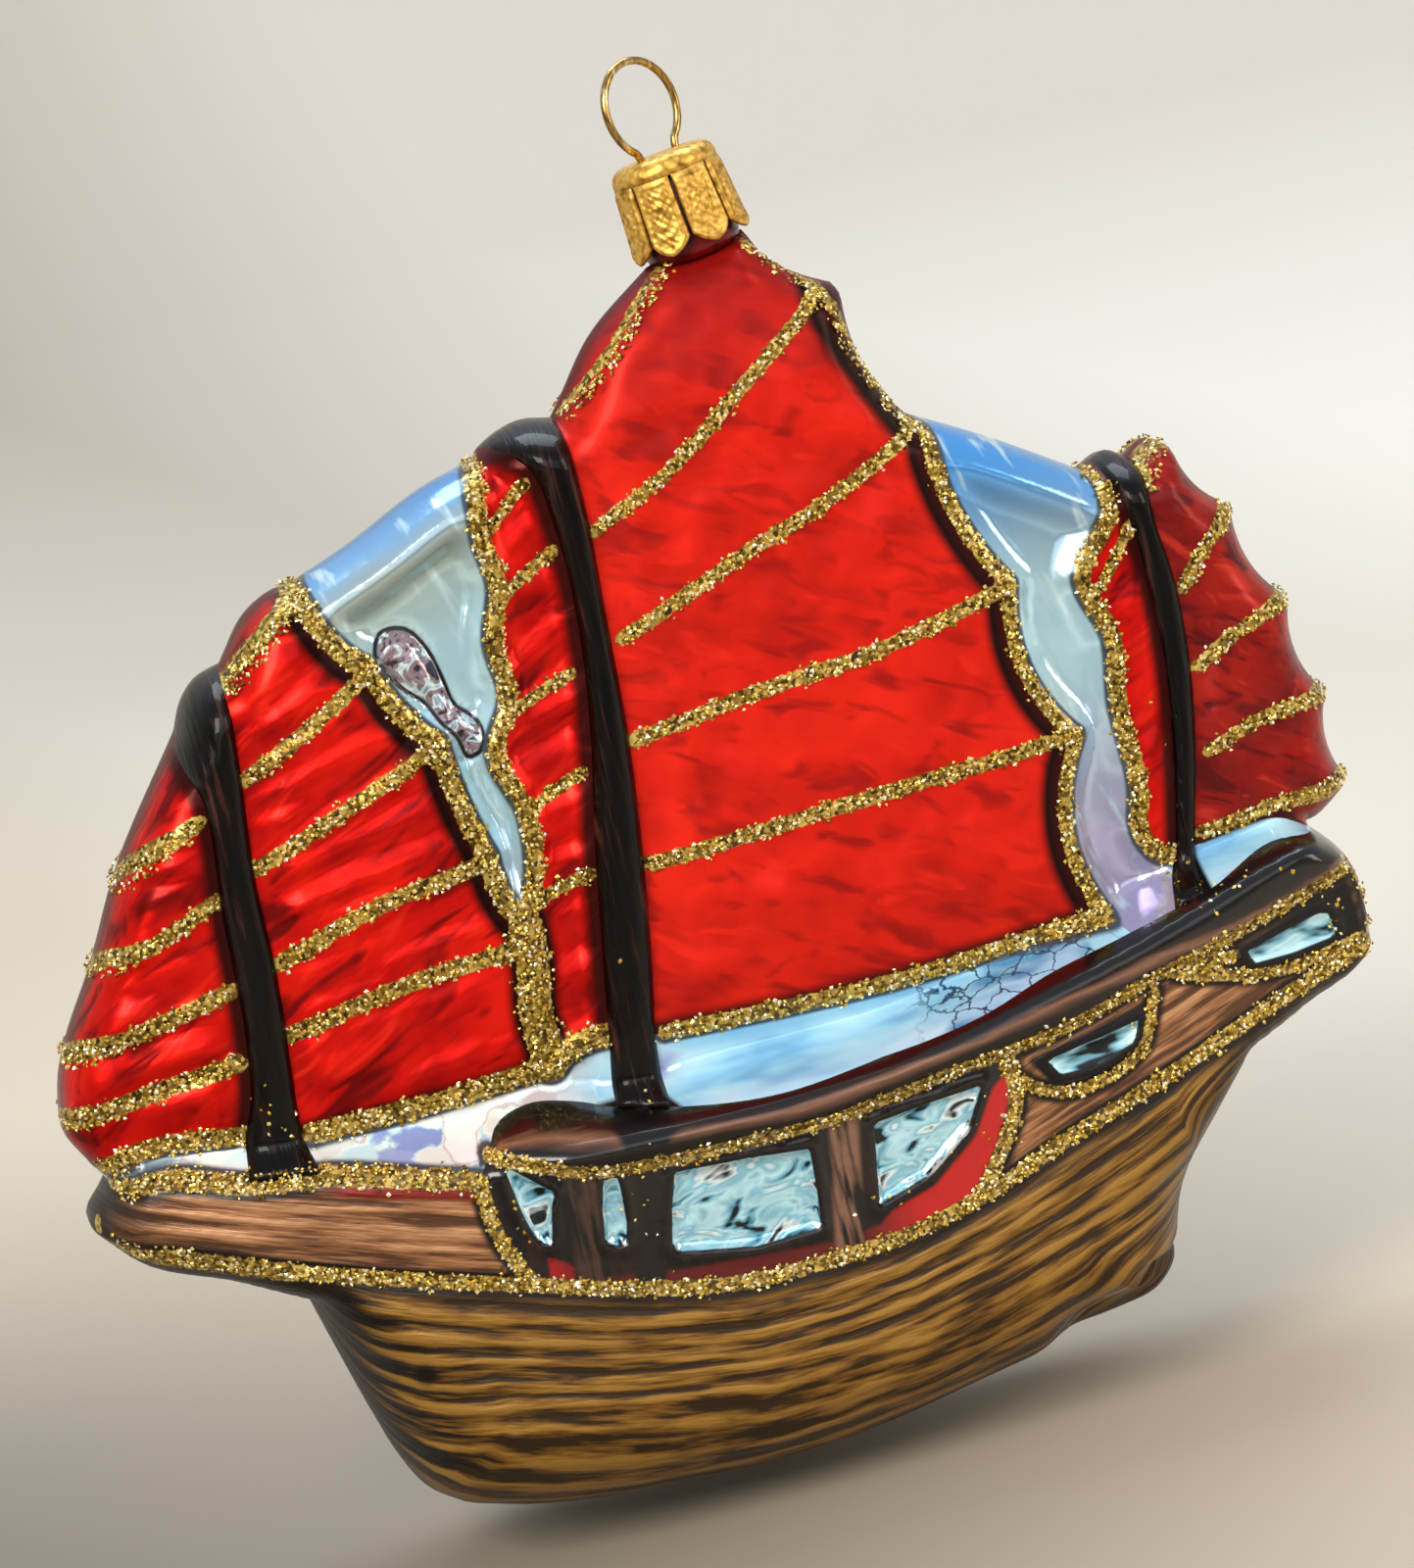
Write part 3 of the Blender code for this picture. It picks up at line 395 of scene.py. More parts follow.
def nearest(places, line, closed=False):
    """Distance from each place to a line, and the point of the line that it is nearest to."""
    start = np.array(line if closed else line[:-1])
    end = np.array(line[1:] + (line[:1] if closed else []))
    way = end - start
    square = np.maximum((way**2).sum(1), 1e-9)
    distances, points = [], []
    for chunk in np.array_split(places, max(1, len(places) // 1500)):
        t = ((chunk[:, None] - start) * way).sum(2) / square
        foot = start + np.clip(t, 0, 1)[..., None] * way
        gap = np.hypot(*(chunk[:, None] - foot).transpose(2, 0, 1))
        pick = gap.argmin(1)
        distances.append(gap[np.arange(len(chunk)), pick])
        points.append(foot[np.arange(len(chunk)), pick])
    return np.concatenate(distances), np.concatenate(points)


def inside(places, shape):
    """Whether each place lies inside a closed shape."""
    x, z = places.T
    crossings = np.zeros(len(places), dtype=int)
    for (ax, az), (bx, bz) in zip(shape, shape[1:] + shape[:1]):
        spans = (az > z) != (bz > z)
        cut = ax + (z - az) * (bx - ax) / (bz - az if bz != az else 1e-9)
        crossings += spans & (x < cut)
    return crossings % 2 == 1


def into(places, shapes):
    """How far each place lies inside the nearest of some closed shapes, below 0 if outside."""
    depth = np.full(len(places), -99.0)
    for shape in shapes:
        distance, _ = nearest(places, shape, closed=True)
        depth = np.maximum(depth, np.where(inside(places, shape), distance, -distance))
    return depth


def waves(x, z, across, lengthwise, turn, seed):
    """Smooth noise with one size across a direction and another along it."""
    cos, sin = math.cos(math.radians(turn)), math.sin(math.radians(turn))
    u = (x * cos + z * sin) / lengthwise
    v = (z * cos - x * sin) / across
    return np.array([noise.noise(Vector((a, b, seed))) for a, b in zip(u, v)])


def planking(places):
    """Place across the planks in mm: 0 at the gunwale, and even down to the keel."""
    x, z = places.T
    top = along(GUNWALE, x)
    bottom_line = back(BOW_UNDERSIDE)[::-1] + STEM + KEEL + back(TRANSOM) + back(STERN_OVERHANG)
    rising = sorted(bottom_line)
    bottom = np.interp(x, [p[0] for p in rising], [p[1] for p in rising])
    share = (top - z) / np.maximum(top - bottom, 6)
    even = np.where(z > top, top - z, share * 21)
    return even + 0.4 * waves(x, z, 7, 30, 0, 5)


def relief(kind, height, reach, places, border, seam):
    """What a zone's surface adds to the plain body, and its height is nil at the zone's border."""
    x, z = places.T
    rise = ease(0, reach, border)
    if kind == "round":
        return height * np.sqrt(1 - (1 - np.clip(border / reach, 0, 1)) ** 2)
    if kind == "web":
        valley = ease(3.2, 6.5, seam)
        folds = 0.22 * waves(x, z, 8, 14, 60, 3) + 0.05 * waves(x, z, 3, 6, 20, 4)
        lobe = into(places, [WEB_LOBE])
        bulge = (1.1 * ease(0, 1.3, lobe) - 0.3 * np.exp(-(lobe / 0.4) ** 2)
                 + 0.3 * waves(x, z, 1.5, 2.2, 50, 8) * ease(0.2, 0.8, lobe))
        return (height * valley + folds + bulge) * rise
    if kind == "dented":
        return (height + 0.35 * waves(x, z, 4.5, 6, 20, 7) + 0.12 * waves(x, z, 2, 3, 60, 9)) * rise
    if kind == "pleated":
        slope = 30 - 22 * ease(-45, -80, z)
        pleats = (0.7 * waves(x, z - x * np.tan(np.radians(slope)), 3.1, 15, 0, 11)
                  + 0.16 * waves(x, z, 2.2, 6, 40, 12))
        return (height + pleats) * rise
    if kind == "planked":
        groove = 0.5 + 0.5 * np.cos(planking(places) * math.tau / PLANK)
        return (height - 0.3 * groove**3 * (0.7 + 0.6 * waves(x, z, 4, 26, 0, 6))) * rise
    if kind == "windows":
        pane = into(places, PANES)
        frame_edge = 0.35 * np.exp(-((pane + 0.35) / 0.45) ** 2)
        return (height * ease(-0.2, 0.5, pane) + frame_edge
                + 0.15 * waves(x, z, 1.6, 3, 30, 15) * (pane > 0)) * rise
    raise ValueError(kind)


def on_body(places, kind, height, reach, border_line):
    """The port surface over places in the side view: points, and half thickness there."""
    x, z = places.T
    sail = along(SAIL_HALF, z) * along(SAIL_TAPER, x)
    hull = HULL_HALF * along(HULL_TAPER, x)
    full = sail + (hull - sail) * ease(along(DECK_TOP, x), along(DECK_LOW, x), z)
    full = full * (1 - (1 - RUDDER_SHARE) * ease(*RUDDER_HEIGHTS, z) * ease(*RUDDER_START, x))
    seam, foot = nearest(places, SILHOUETTE, closed=True)
    border, _ = nearest_pieces(places, border_line)
    full = full + relief(kind, height, reach, places, border, seam)
    bilge = ease(*BILGE_HEIGHTS, z) * (1 - ease(*BILGE_END, x))
    stern = ease(*STERN_START, x) * ease(*STERN_HEIGHTS, z)
    round_reach = (SEAM_ROUND + (KEEL_ROUND - SEAM_ROUND) * bilge
                   + (STERN_ROUND - SEAM_ROUND) * stern)
    turn = np.clip(seam / round_reach, 0, 1) * math.pi / 2
    moved = np.where(seam < round_reach, round_reach * (1 - np.cos(turn)), seam)
    inward = (places - foot) / np.maximum(seam, 1e-6)[:, None]
    flat = foot + inward * moved[:, None]
    return np.column_stack((flat[:, 0], -full * np.sin(turn), flat[:, 1]))


def nearest_pieces(places, pieces):
    """The same as nearest, for a line in several pieces."""
    found = [nearest(places, piece) for piece in pieces]
    distance = np.min([d for d, _ in found], axis=0)
    return distance, found


def inner_border(points):
    """The parts of a zone's outline that don't lie on the silhouette."""
    loop = points + points[:1]
    middles = np.array([((a[0] + b[0]) / 2, (a[1] + b[1]) / 2) for a, b in zip(loop, loop[1:])])
    away, _ = nearest(middles, SILHOUETTE, closed=True)
    pieces, piece = [], []
    for a, b, gap in zip(loop, loop[1:], away):
        if gap > 0.1:
            piece = piece or [a]
            piece.append(b)
        elif piece:
            pieces.append(piece)
            piece = []
    if piece:
        pieces.append(piece)
    return pieces


# Paint borders that the finishes read, in mm: distance from dark edges, depth into glitter,
# panes, frames, red paint, the lobe and the masts' feet, place across the planks, distance from
# the bow's top, and share of the rail's depth
DARK_EDGES = [MAIN_LEECH_LINE, MAIN_LEECH, FORE_LEECH, SAILS_MEET, smooth(MIZZEN_FOOT, 0, 1),
              MAIN_FOOT, FORE_FOOT, MAIN_MAST_FORE, FORE_MAST_FORE, MIZZEN_MAST_FORE]


def glue_depth(places):
    depth = np.full(len(places), -9.0)
    for _, line, width in GLITTER:
        distance, _ = nearest(places, line)
        depth = np.maximum(depth, width / 2 - distance)
    return depth


def paint_values(places):
    x, z = places.T
    seam, _ = nearest(places, SILHOUETTE, closed=True)
    rail_top = along(RAIL_TOP, x)
    rail = (rail_top - z) / np.maximum(rail_top - along(RAIL_BOTTOM, x), 1)
    return {
        "leech": nearest_pieces(places, [MAIN_LEECH_LINE, MAIN_LEECH, FORE_LEECH, SAILS_MEET])[0],
        "edge": nearest_pieces(places, DARK_EDGES)[0],
        "seam": seam,
        "glue": glue_depth(places) - 3 * at_ends(x, z) * ease(1.2, 0.8, seam),
        "pane": into(places, PANES),
        "frame": into(places, STERN_FRAMES),
        "red": into(places, [RED_FRAME]),
        "lobe": into(places, [WEB_LOBE]),
        "foot": into(places, MAST_FEET),
        "plank": planking(places),
        "bow_top": nearest(places, BOW_TOP)[0],
        "rail": rail - 0.4 * ease(12, 40, x),
    }


# Making pieces

def new_piece(name, mesh, finish, body, nodes):
    mesh.materials.append(finish)
    piece = bpy.data.objects.new(name, mesh)
    bpy.context.scene.collection.objects.link(piece)
    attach(piece, body)
    if nodes:
        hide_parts(*nodes)
    return piece


def to_mesh(bm, name, scale=MM, place=None):
    """A mesh in metres, with its faces outwards, and the bmesh freed."""
    bmesh.ops.recalc_face_normals(bm, faces=bm.faces)
    bmesh.ops.scale(bm, vec=(scale, scale, scale), verts=bm.verts)
    if place is not None:
        bmesh.ops.transform(bm, matrix=place, verts=bm.verts)
    for face in bm.faces:
        face.smooth = True
    mesh = bpy.data.meshes.new(name)
    bm.to_mesh(mesh)
    bm.free()
    return mesh


def cut_flat(points, grid):
    """A flat face from an outline, cut along x and z."""
    bm = bmesh.new()
    bm.faces.new([bm.verts.new((x, 0, z)) for x, z in points])
    for axis, normal in ((0, (1, 0, 0)), (2, (0, 0, 1))):
        places = [point[axis // 2] for point in points]
        for step in range(math.ceil(min(places) / grid), math.ceil(max(places) / grid)):
            place = [0, 0, 0]
            place[axis] = step * grid
            geometry = bm.verts[:] + bm.edges[:] + bm.faces[:]
            bmesh.ops.bisect_plane(bm, geom=geometry, dist=0.02, plane_co=place, plane_no=normal)
    bmesh.ops.dissolve_degenerate(bm, dist=0.02, edges=bm.edges)
    many_sided = [face for face in bm.faces if len(face.verts) > 4]
    bmesh.ops.triangulate(bm, faces=many_sided)
    return bm


def make_zone(name, points, kind, height, reach, finish):
    """One zone of the glass: its port face, its mirror image, and the walls between."""
    bm = cut_flat(points, GRID)
    places = np.array([(vert.co.x, vert.co.z) for vert in bm.verts])
    surface = on_body(places, kind, height, reach, inner_border(points))
    values = paint_values(places)
    layers = {key: bm.verts.layers.float.new(key) for key in values}
    for index, vert in enumerate(bm.verts):
        vert.co = surface[index]
        for key, layer in layers.items():
            vert[layer] = values[key][index]
    skin = set(bm.faces)
    grown = bmesh.ops.extrude_face_region(bm, geom=bm.faces[:], use_keep_orig=True)
    for item in grown["geom"]:
        if isinstance(item, bmesh.types.BMVert):
            item.co.y = -item.co.y
    starboard = {item for item in grown["geom"] if isinstance(item, bmesh.types.BMFace)}
    for face in bm.faces:
        if face not in skin and face not in starboard:
            for edge in face.edges:
                edge.smooth = False
    bmesh.ops.remove_doubles(bm, verts=bm.verts, dist=0.002)
    return new_piece(name + "_glass", to_mesh(bm, name), finish, "glass", [name])


def chip_mesh():
    """One flake of glitter, a flat eight-sided grain, as points and faces."""
    bm = bmesh.new()
    bmesh.ops.create_uvsphere(bm, u_segments=4, v_segments=2, radius=1)
    bmesh.ops.triangulate(bm, faces=bm.faces)
    bmesh.ops.recalc_face_normals(bm, faces=bm.faces)
    verts = np.array([vert.co for vert in bm.verts])
    faces = np.array([[vert.index for vert in face.verts] for face in bm.faces])
    bm.free()
    return verts, faces


CHIP_VERTS, CHIP_FACES = chip_mesh()
CHIP_SIZE = (0.15, 0.29)      # radius in mm
CHIP_FLATNESS = 0.5
CHIPS_PER_MM2 = 7.5
BEAD = 0.38                   # how proud the glue stands in mm


def scatter(points, normals, lifts, rng):
    """Flakes at points of the port side, and their mirror images to starboard."""
    count = len(points)
    size = rng.uniform(*CHIP_SIZE, count)
    shape = CHIP_VERTS * (1, 1, CHIP_FLATNESS)
    squash = rng.uniform(0.6, 1.0, (count, 1, 1))
    verts = np.repeat(shape[None], count, axis=0) * size[:, None, None]
    verts[:, :, 1:2] *= squash
    up = normals + rng.normal(0, 0.38, (count, 3))
    up /= np.linalg.norm(up, axis=1)[:, None]
    side = np.cross(up, rng.normal(0, 1, (count, 3)))
    side /= np.linalg.norm(side, axis=1)[:, None]
    ahead = np.cross(up, side)
    turned = (verts[..., 0:1] * side[:, None] + verts[..., 1:2] * ahead[:, None]
              + verts[..., 2:3] * up[:, None])
    port = turned + (points + normals * lifts[:, None])[:, None]
    return port.reshape(-1, 3)


def flake_mesh(name, port, rng):
    """The joined mesh of all flakes, both sides."""
    starboard = port * (1, -1, 1)
    count = len(port) // len(CHIP_VERTS)
    step = len(CHIP_VERTS)
    offsets = (np.arange(count) * step)[:, None, None]
    port_faces = (CHIP_FACES[None] + offsets).reshape(-1, 3)
    starboard_faces = port_faces[:, ::-1] + len(port)
    verts = np.concatenate((port, starboard)) * MM
    faces = np.concatenate((port_faces, starboard_faces))
    mesh = bpy.data.meshes.new(name)
    mesh.from_pydata(verts.tolist(), [], faces.tolist())
    tint_and_glint = mesh.attributes.new("tint_and_glint", "FLOAT", "POINT")
    # One random shade for each flake, partly its own tone and partly a painted glint or painted shade
    shades = np.tile(np.repeat(rng.random(count), step), 2)
    tint_and_glint.data.foreach_set("value", shades.astype(np.float32))
    return mesh


def at_ends(x, z):
    """Whether a place is at the tip of the bow or of the stern, whose end faces stay bare."""
    return ((x < -69.5) | (x > 46)) & (z < -83.5)


def make_glitter(group, tree, finish, seed, strays=()):
    rng = np.random.default_rng(seed)
    clumps = []
    for piece, line, width in GLITTER:
        if piece != group:
            continue
        path = np.array(line)
        lengths = np.hypot(*np.diff(path, axis=0).T)
        far = np.concatenate(([0], np.cumsum(lengths)))
        count = int(far[-1] * width * CHIPS_PER_MM2 * 2)
        at = rng.uniform(0, far[-1], count)
        centre = np.column_stack([np.interp(at, far, path[:, i]) for i in (0, 1)])
        way = path[np.clip(np.searchsorted(far, at), 1, len(path) - 1)]
        way = way - path[np.clip(np.searchsorted(far, at) - 1, 0, len(path) - 2)]
        way /= np.maximum(np.hypot(*way.T), 1e-6)[:, None]
        ragged = 1 + 0.3 * np.sin(at * 1.9 + seed) * np.sin(at * 0.83) + rng.normal(0, 0.14, count)
        share = rng.uniform(-1, 1, count)
        offset = share * width / 2 * ragged
        spots = centre + np.column_stack((-way[:, 1], way[:, 0])) * offset[:, None]
        clumps.append((spots, BEAD * (1 - share**2)))
    for (x, z), spread, count in strays:
        spots = rng.normal((x, z), spread, (count * 2, 2))
        clumps.append((spots, np.zeros(count)))
    points, normals, lifts = [], [], []
    for spots, lift in clumps:
        for (x, z), high, luck in zip(spots, lift, rng.random(len(spots))):
            hit, normal, _, _ = tree.ray_cast(Vector((x, -40, z)), Vector((0, 1, 0)), 39.9)
            if hit is None or luck * abs(normal.y) > 0.5 or at_ends(x, z) and abs(normal.y) < 0.5:
                continue
            if hit.y < -0.3:
                points.append(hit)
                normals.append(normal if normal.y < 0 else -normal)
                lifts.append(high + 0.05)
    port = scatter(np.array(points), np.array(normals), np.array(lifts), rng)
    mesh = flake_mesh(group + "_glitter", port, rng)
    return new_piece(group + "_glitter", mesh, finish, "glass", [])


def turned(profile, segments=64):
    """A closed body turned about Z from a closed profile of (radius, height) points."""
    bm = bmesh.new()
    verts = [bm.verts.new((radius, 0, height)) for radius, height in profile]
    edges = [bm.edges.new(pair) for pair in zip(verts, verts[1:])]
    bmesh.ops.spin(bm, geom=verts + edges, cent=(0, 0, 0), axis=(0, 0, 1),
                   angle=math.tau, steps=segments, use_merge=True)
    bmesh.ops.remove_doubles(bm, verts=bm.verts, dist=0.001)
    return bm


def make_neck(finish):
    bottom = -(NECK_BASE + 0.6)
    profile = [(0, bottom), (NECK_BASE_RADIUS - 0.4, bottom), (NECK_BASE_RADIUS - 0.1, bottom + 1),
               (NECK_RADIUS, bottom + 2.4), (NECK_RADIUS, -NECK_TOP - 0.3),
               (NECK_RADIUS - 0.3, -NECK_TOP), (NECK_BORE, -NECK_TOP),
               (NECK_BORE, -NECK_BASE + NECK_FLOOR), (0, -NECK_BASE + NECK_FLOOR)]
    mesh = to_mesh(turned(profile), "glass_neck", MM, NECK)
    new_piece("glass_neck_tube", mesh, finish, "glass", ["glass_neck"])


def cap_radius(depth):
    return 5.0 + 0.075 * (depth - PETAL_START)


def make_cap(finish):
    """The stamped foil cap: a domed crown and eight embossed petals that end in points."""
    crown = turned([(0, 0), (3.3, -0.02), (4.0, -0.12), (4.5, -0.36), (4.82, -0.74), (4.98, -1.2),
                    (5.0, -PETAL_START), (4.7, -PETAL_START), (4.68, -1.3), (4.52, -0.9),
                    (4.25, -0.62), (3.8, -0.45), (3.2, -0.38), (0, -0.36)])
    bm = bmesh.new()
    holder = bpy.data.meshes.new("crown")
    crown.to_mesh(holder)
    crown.free()
    bm.from_mesh(holder)
    bpy.data.meshes.remove(holder)
    half = math.radians(20.9) * 5.3
    shape = outline(smooth([(-half, -PETAL_START), (0, -PETAL_START), (half, -PETAL_START)]),
                    smooth([(half, -PETAL_START), (half, -7.5)]),
                    smooth([(half, -7.5), (half * 0.78, -7.95), (half * 0.3, -8.6),
                            (0, -CAP_HEIGHT)]),
                    smooth([(0, -CAP_HEIGHT), (-half * 0.3, -8.6), (-half * 0.78, -7.95),
                            (-half, -7.5)]),
                    smooth([(-half, -7.5), (-half, -PETAL_START)]))
    petal = cut_flat(shape, 0.16)
    places = np.array([(vert.co.x, vert.co.z) for vert in petal.verts])
    rim, _ = nearest(places, shape, closed=True)
    u, v = places.T
    top = ease(0, 0.8, -PETAL_START - v)
    ring = np.hypot(u * 1.3, (v + 5.1) * 0.9)
    scroll = np.cos(ring * math.tau / 0.9) * ease(2.4, 1.2, ring)
    beads = np.cos(u * math.tau / 0.75) * np.cos(v * math.tau / 0.75)
    raised_rim = 0.2 * ease(0.62, 0.45, rim) * ease(0.0, 0.2, rim)
    emboss = (raised_rim + 0.07 * scroll * ease(0.6, 0.8, rim)
              + 0.08 * beads * ease(0.6, 0.8, rim)) * top
    bowed = 0.28 * (1 - (u / half) ** 2) * top - 0.16 * top
    radius = cap_radius(-v) + emboss + bowed
    for (across, down), far, vert in zip(places, radius, petal.verts):
        vert.co = (across, -far, down)
    grown = bmesh.ops.extrude_face_region(petal, geom=petal.faces[:], use_keep_orig=True)
    inner = [item for item in grown["geom"] if isinstance(item, bmesh.types.BMVert)]
    for vert in inner:
        vert.co.y += 0.3
    for vert in petal.verts:
        angle = vert.co.x / 5.3
        far = -vert.co.y
        vert.co = (far * math.sin(angle), -far * math.cos(angle), vert.co.z)
    leaf = bpy.data.meshes.new("petal")
    petal.to_mesh(leaf)
    petal.free()
    for index in range(CAP_PETALS):
        start = len(bm.verts)
        bm.from_mesh(leaf)
        bm.verts.ensure_lookup_table()
        turn = Matrix.Rotation(math.tau * (index + 0.35) / CAP_PETALS, 4, "Z")
        bmesh.ops.transform(bm, matrix=turn, verts=bm.verts[start:])
    bpy.data.meshes.remove(leaf)
    bmesh.ops.translate(bm, vec=(0, 0, -CAP_TOP), verts=bm.verts)
    mesh = to_mesh(bm, "ornament_cap", MM, NECK)
    new_piece("ornament_cap_foil", mesh, finish, "cap", ["ornament_cap"])


def make_ring(finish):
    """The wire ring and its two spring legs, as one bent wire."""
    centre = -(RING_RADIUS - WIRE_RADIUS)
    opening = math.asin((LEG_SPACING + 0.32) / RING_RADIUS)
    loop = []
    for step in range(97):
        turn = opening + (math.tau - 2 * opening) * step / 96
        loop.append((-math.sin(turn) * RING_RADIUS, centre - math.cos(turn) * RING_RADIUS))
    leg = [(2.75, -15.8), (2.4, -12.8), (LEG_SPACING, -12.0), (LEG_SPACING, -8.7),
           (LEG_SPACING + 0.03, -8.3), (LEG_SPACING + 0.13, -7.95)]
    path = [(-across, height) for across, height in leg] + loop + back(leg)
    curve = bpy.data.curves.new("wire", "CURVE")
    curve.dimensions = "3D"
    curve.bevel_depth = WIRE_RADIUS
    curve.bevel_resolution = 4
    curve.use_fill_caps = True
    spline = curve.splines.new("POLY")
    spline.points.add(len(path) - 1)
    yaw = math.radians(RING_YAW)
    for point, (across, height) in zip(spline.points, path):
        point.co = (across * math.cos(yaw), across * math.sin(yaw), height, 1)
    wire = bpy.data.objects.new("wire", curve)
    bpy.context.scene.collection.objects.link(wire)
    bm = bmesh.new()
    bm.from_mesh(wire.to_mesh())
    bpy.data.objects.remove(wire)
    bmesh.ops.remove_doubles(bm, verts=bm.verts, dist=0.0005)
    mesh = to_mesh(bm, "hanging_ring", MM, NECK)
    new_piece("hanging_ring_wire", mesh, finish, "ring", ["hanging_ring"])


# Finishes

SOFT = {"interpolation_type": "SMOOTHSTEP"}
COLOURS = {"data_type": "RGBA"}


def colour(hexa):
    """A linear colour from sRGB hex."""
    parts = [int(hexa[i:i + 2], 16) / 255 for i in (1, 3, 5)]
    return (*[p / 12.92 if p <= 0.04045 else ((p + 0.055) / 1.055) ** 2.4 for p in parts], 1)


def node(tree, kind, inputs=None, pick=None, stops=None, **settings):
    """Adds a node and gives the output picked by name, or else the first one in use.

    Inputs hold numbers, sRGB hex colours or other nodes' outputs, and stops fill a ramp.
    """
    made = tree.nodes.new("ShaderNode" + kind)
    for key, value in settings.items():
        setattr(made, key, value)
    for key, value in (inputs or {}).items():
        if isinstance(value, bpy.types.NodeSocket):
            tree.links.new(value, made.inputs[key])
        else:
            made.inputs[key].default_value = colour(value) if isinstance(value, str) else value
    if stops:
        elements = made.color_ramp.elements
        while len(elements) < len(stops):
            elements.new(0.5)
        for element, (place, tone) in zip(elements, stops):
            element.position = place
            element.color = colour(tone)
    if pick:
        return made.outputs[pick]
    return next(output for output in made.outputs if output.enabled)


def start(name):
    """A new material, its tree, its shader and the place on the piece in metres."""
    made = bpy.data.materials.new(name)
    made.use_nodes = True
    tree = made.node_tree
    return made, tree, tree.nodes["Principled BSDF"], node(tree, "TexCoord", pick="Object")


def spray_paint_and_shade(tree, tone, border, full, faded, paint):
    """Paint, painted shade and painted reflection alike, sprayed over a base colour, full at one value
    of a border and faded at another.
    """
    value = node(tree, "Attribute", pick="Fac", attribute_name=border)
    cover = node(tree, "MapRange", {"Value": value, "From Min": faded, "From Max": full}, **SOFT)
    return node(tree, "Mix", {0: cover, 6: tone, 7: paint}, **COLOURS)


def add_glue(tree, place, tone):
    """Gold-coloured glue under the glitter, with a ragged edge, over a base colour."""
    ragged = node(tree, "TexNoise", {"Vector": place, "Scale": 1000 / 0.5, "Detail": 2.0})
    depth = node(tree, "Math", {
        0: ragged, 1: 0.5, 2: node(tree, "Attribute", pick="Fac", attribute_name="glue")},
        operation="MULTIPLY_ADD")
    cover = node(tree, "MapRange", {"Value": depth, "From Min": 0.3, "From Max": 0.45}, **SOFT)
    grains = node(tree, "TexVoronoi", {"Vector": place, "Scale": 1000 / 0.4}, pick="Color")
    gold = node(tree, "ValToRGB", {"Fac": grains},
                stops=[(0.2, "#443412"), (0.5, "#90722E"), (0.8, "#D4B860")])
    return node(tree, "Mix", {0: cover, 6: tone, 7: gold}, **COLOURS)


def set_up(tree, shader, **values):
    """Sets the shader's own sockets, by names with _ for a space."""
    for key, value in values.items():
        socket = shader.inputs[key.replace("_", " ")]
        if isinstance(value, bpy.types.NodeSocket):
            tree.links.new(value, socket)
        else:
            socket.default_value = value


def red_lacquer(name, tones, stroke, dark, light, **shine):
    """Red lacquer over silver. A stroke is its width and length in mm and its turn in degrees."""
    made, tree, shader, place = start(name)
    across, length, turn = stroke
    patches = node(tree, "TexNoise", {"Vector": place, "Scale": 1000 / 7, "Detail": 3.0})
    tone = node(tree, "ValToRGB", {"Fac": patches}, stops=tones)
    brushed = node(tree, "Mapping", {"Vector": place, "Rotation": (0, math.radians(turn), 0),
                                     "Scale": (length / across, 1, 1)}, vector_type="TEXTURE")
    strokes = node(tree, "TexNoise", {"Vector": brushed, "Scale": 1000 / across, "Detail": 2.0,
                                      "Distortion": 0.7})
    thick = node(tree, "MapRange", {"Value": strokes, "From Min": 0.5, "From Max": 0.3}, **SOFT)
    tone = node(tree, "Mix", {0: thick, 6: tone, 7: dark}, **COLOURS)
    # Painted highlight: lighter red where the strokes are high, on the crests that the crease bump
    # raises
    thin = node(tree, "MapRange", {"Value": strokes, "From Min": 0.58, "From Max": 0.74}, **SOFT)
    tone = node(tree, "Mix", {0: thin, 6: tone, 7: light}, **COLOURS)
    height = node(tree, "SeparateXYZ", {"Vector": place}, pick="Z")
    peak = node(tree, "MapRange", {"Value": height, "From Min": -0.036, "From Max": -0.017,
                                   "To Max": 0.75}, **SOFT)
    tone = node(tree, "Mix", {0: peak, 6: tone, 7: "#84100E"}, **COLOURS)
    tone = spray_paint_and_shade(tree, tone, "leech", 1.7, 3.0, "#120604")
    tone = spray_paint_and_shade(tree, tone, "edge", 0.6, 1.9, "#3A0A08")
    # Painted shade: darker red where the glass rolls away near its outline
    tone = spray_paint_and_shade(tree, tone, "seam", 0.3, 2.0, "#5A0C10")
    tone = add_glue(tree, place, tone)
    rough = node(tree, "MapRange", {"Value": patches, "To Min": shine["rough"] - 0.06,
                                    "To Max": shine["rough"] + 0.08})
    dents = node(tree, "Bump", {"Height": patches, "Distance": 0.4 * MM, "Strength": 0.4})
    creases = node(tree, "Bump", {"Height": strokes, "Distance": 0.3 * MM, "Normal": dents,
                                  "Strength": shine["crease"]})
    set_up(tree, shader, Base_Color=tone, Roughness=rough, Metallic=shine["metal"],
           Normal=creases, IOR=shine["ior"], Coat_Weight=shine["coat"], Coat_Roughness=0.12)
    return made


def satin_red():
    # Matted lacquer, dabbed on with a brush that leaves darker feathered strokes
    return red_lacquer(
        "satin red lacquer on silvered glass",
        [(0.32, "#B4180C"), (0.5, "#CC1C0E"), (0.68, "#D82210")], (2.4, 6, 28),
        "#9C140C", "#D82212", metal=0.4, rough=0.44, crease=0.2, ior=1.22, coat=0.05)


def gloss_red():
    # The same lacquer left glossy, with painted highlights: lighter red strokes on the crests of its
    # creases
    return red_lacquer(
        "candy red lacquer on silvered glass",
        [(0.32, "#A60C0A"), (0.48, "#CC120C"), (0.66, "#E61C0E")], (2.3, 10, -25),
        "#760A0A", "#F02818", metal=0.62, rough=0.3, crease=0.5, ior=1.2, coat=0.06)


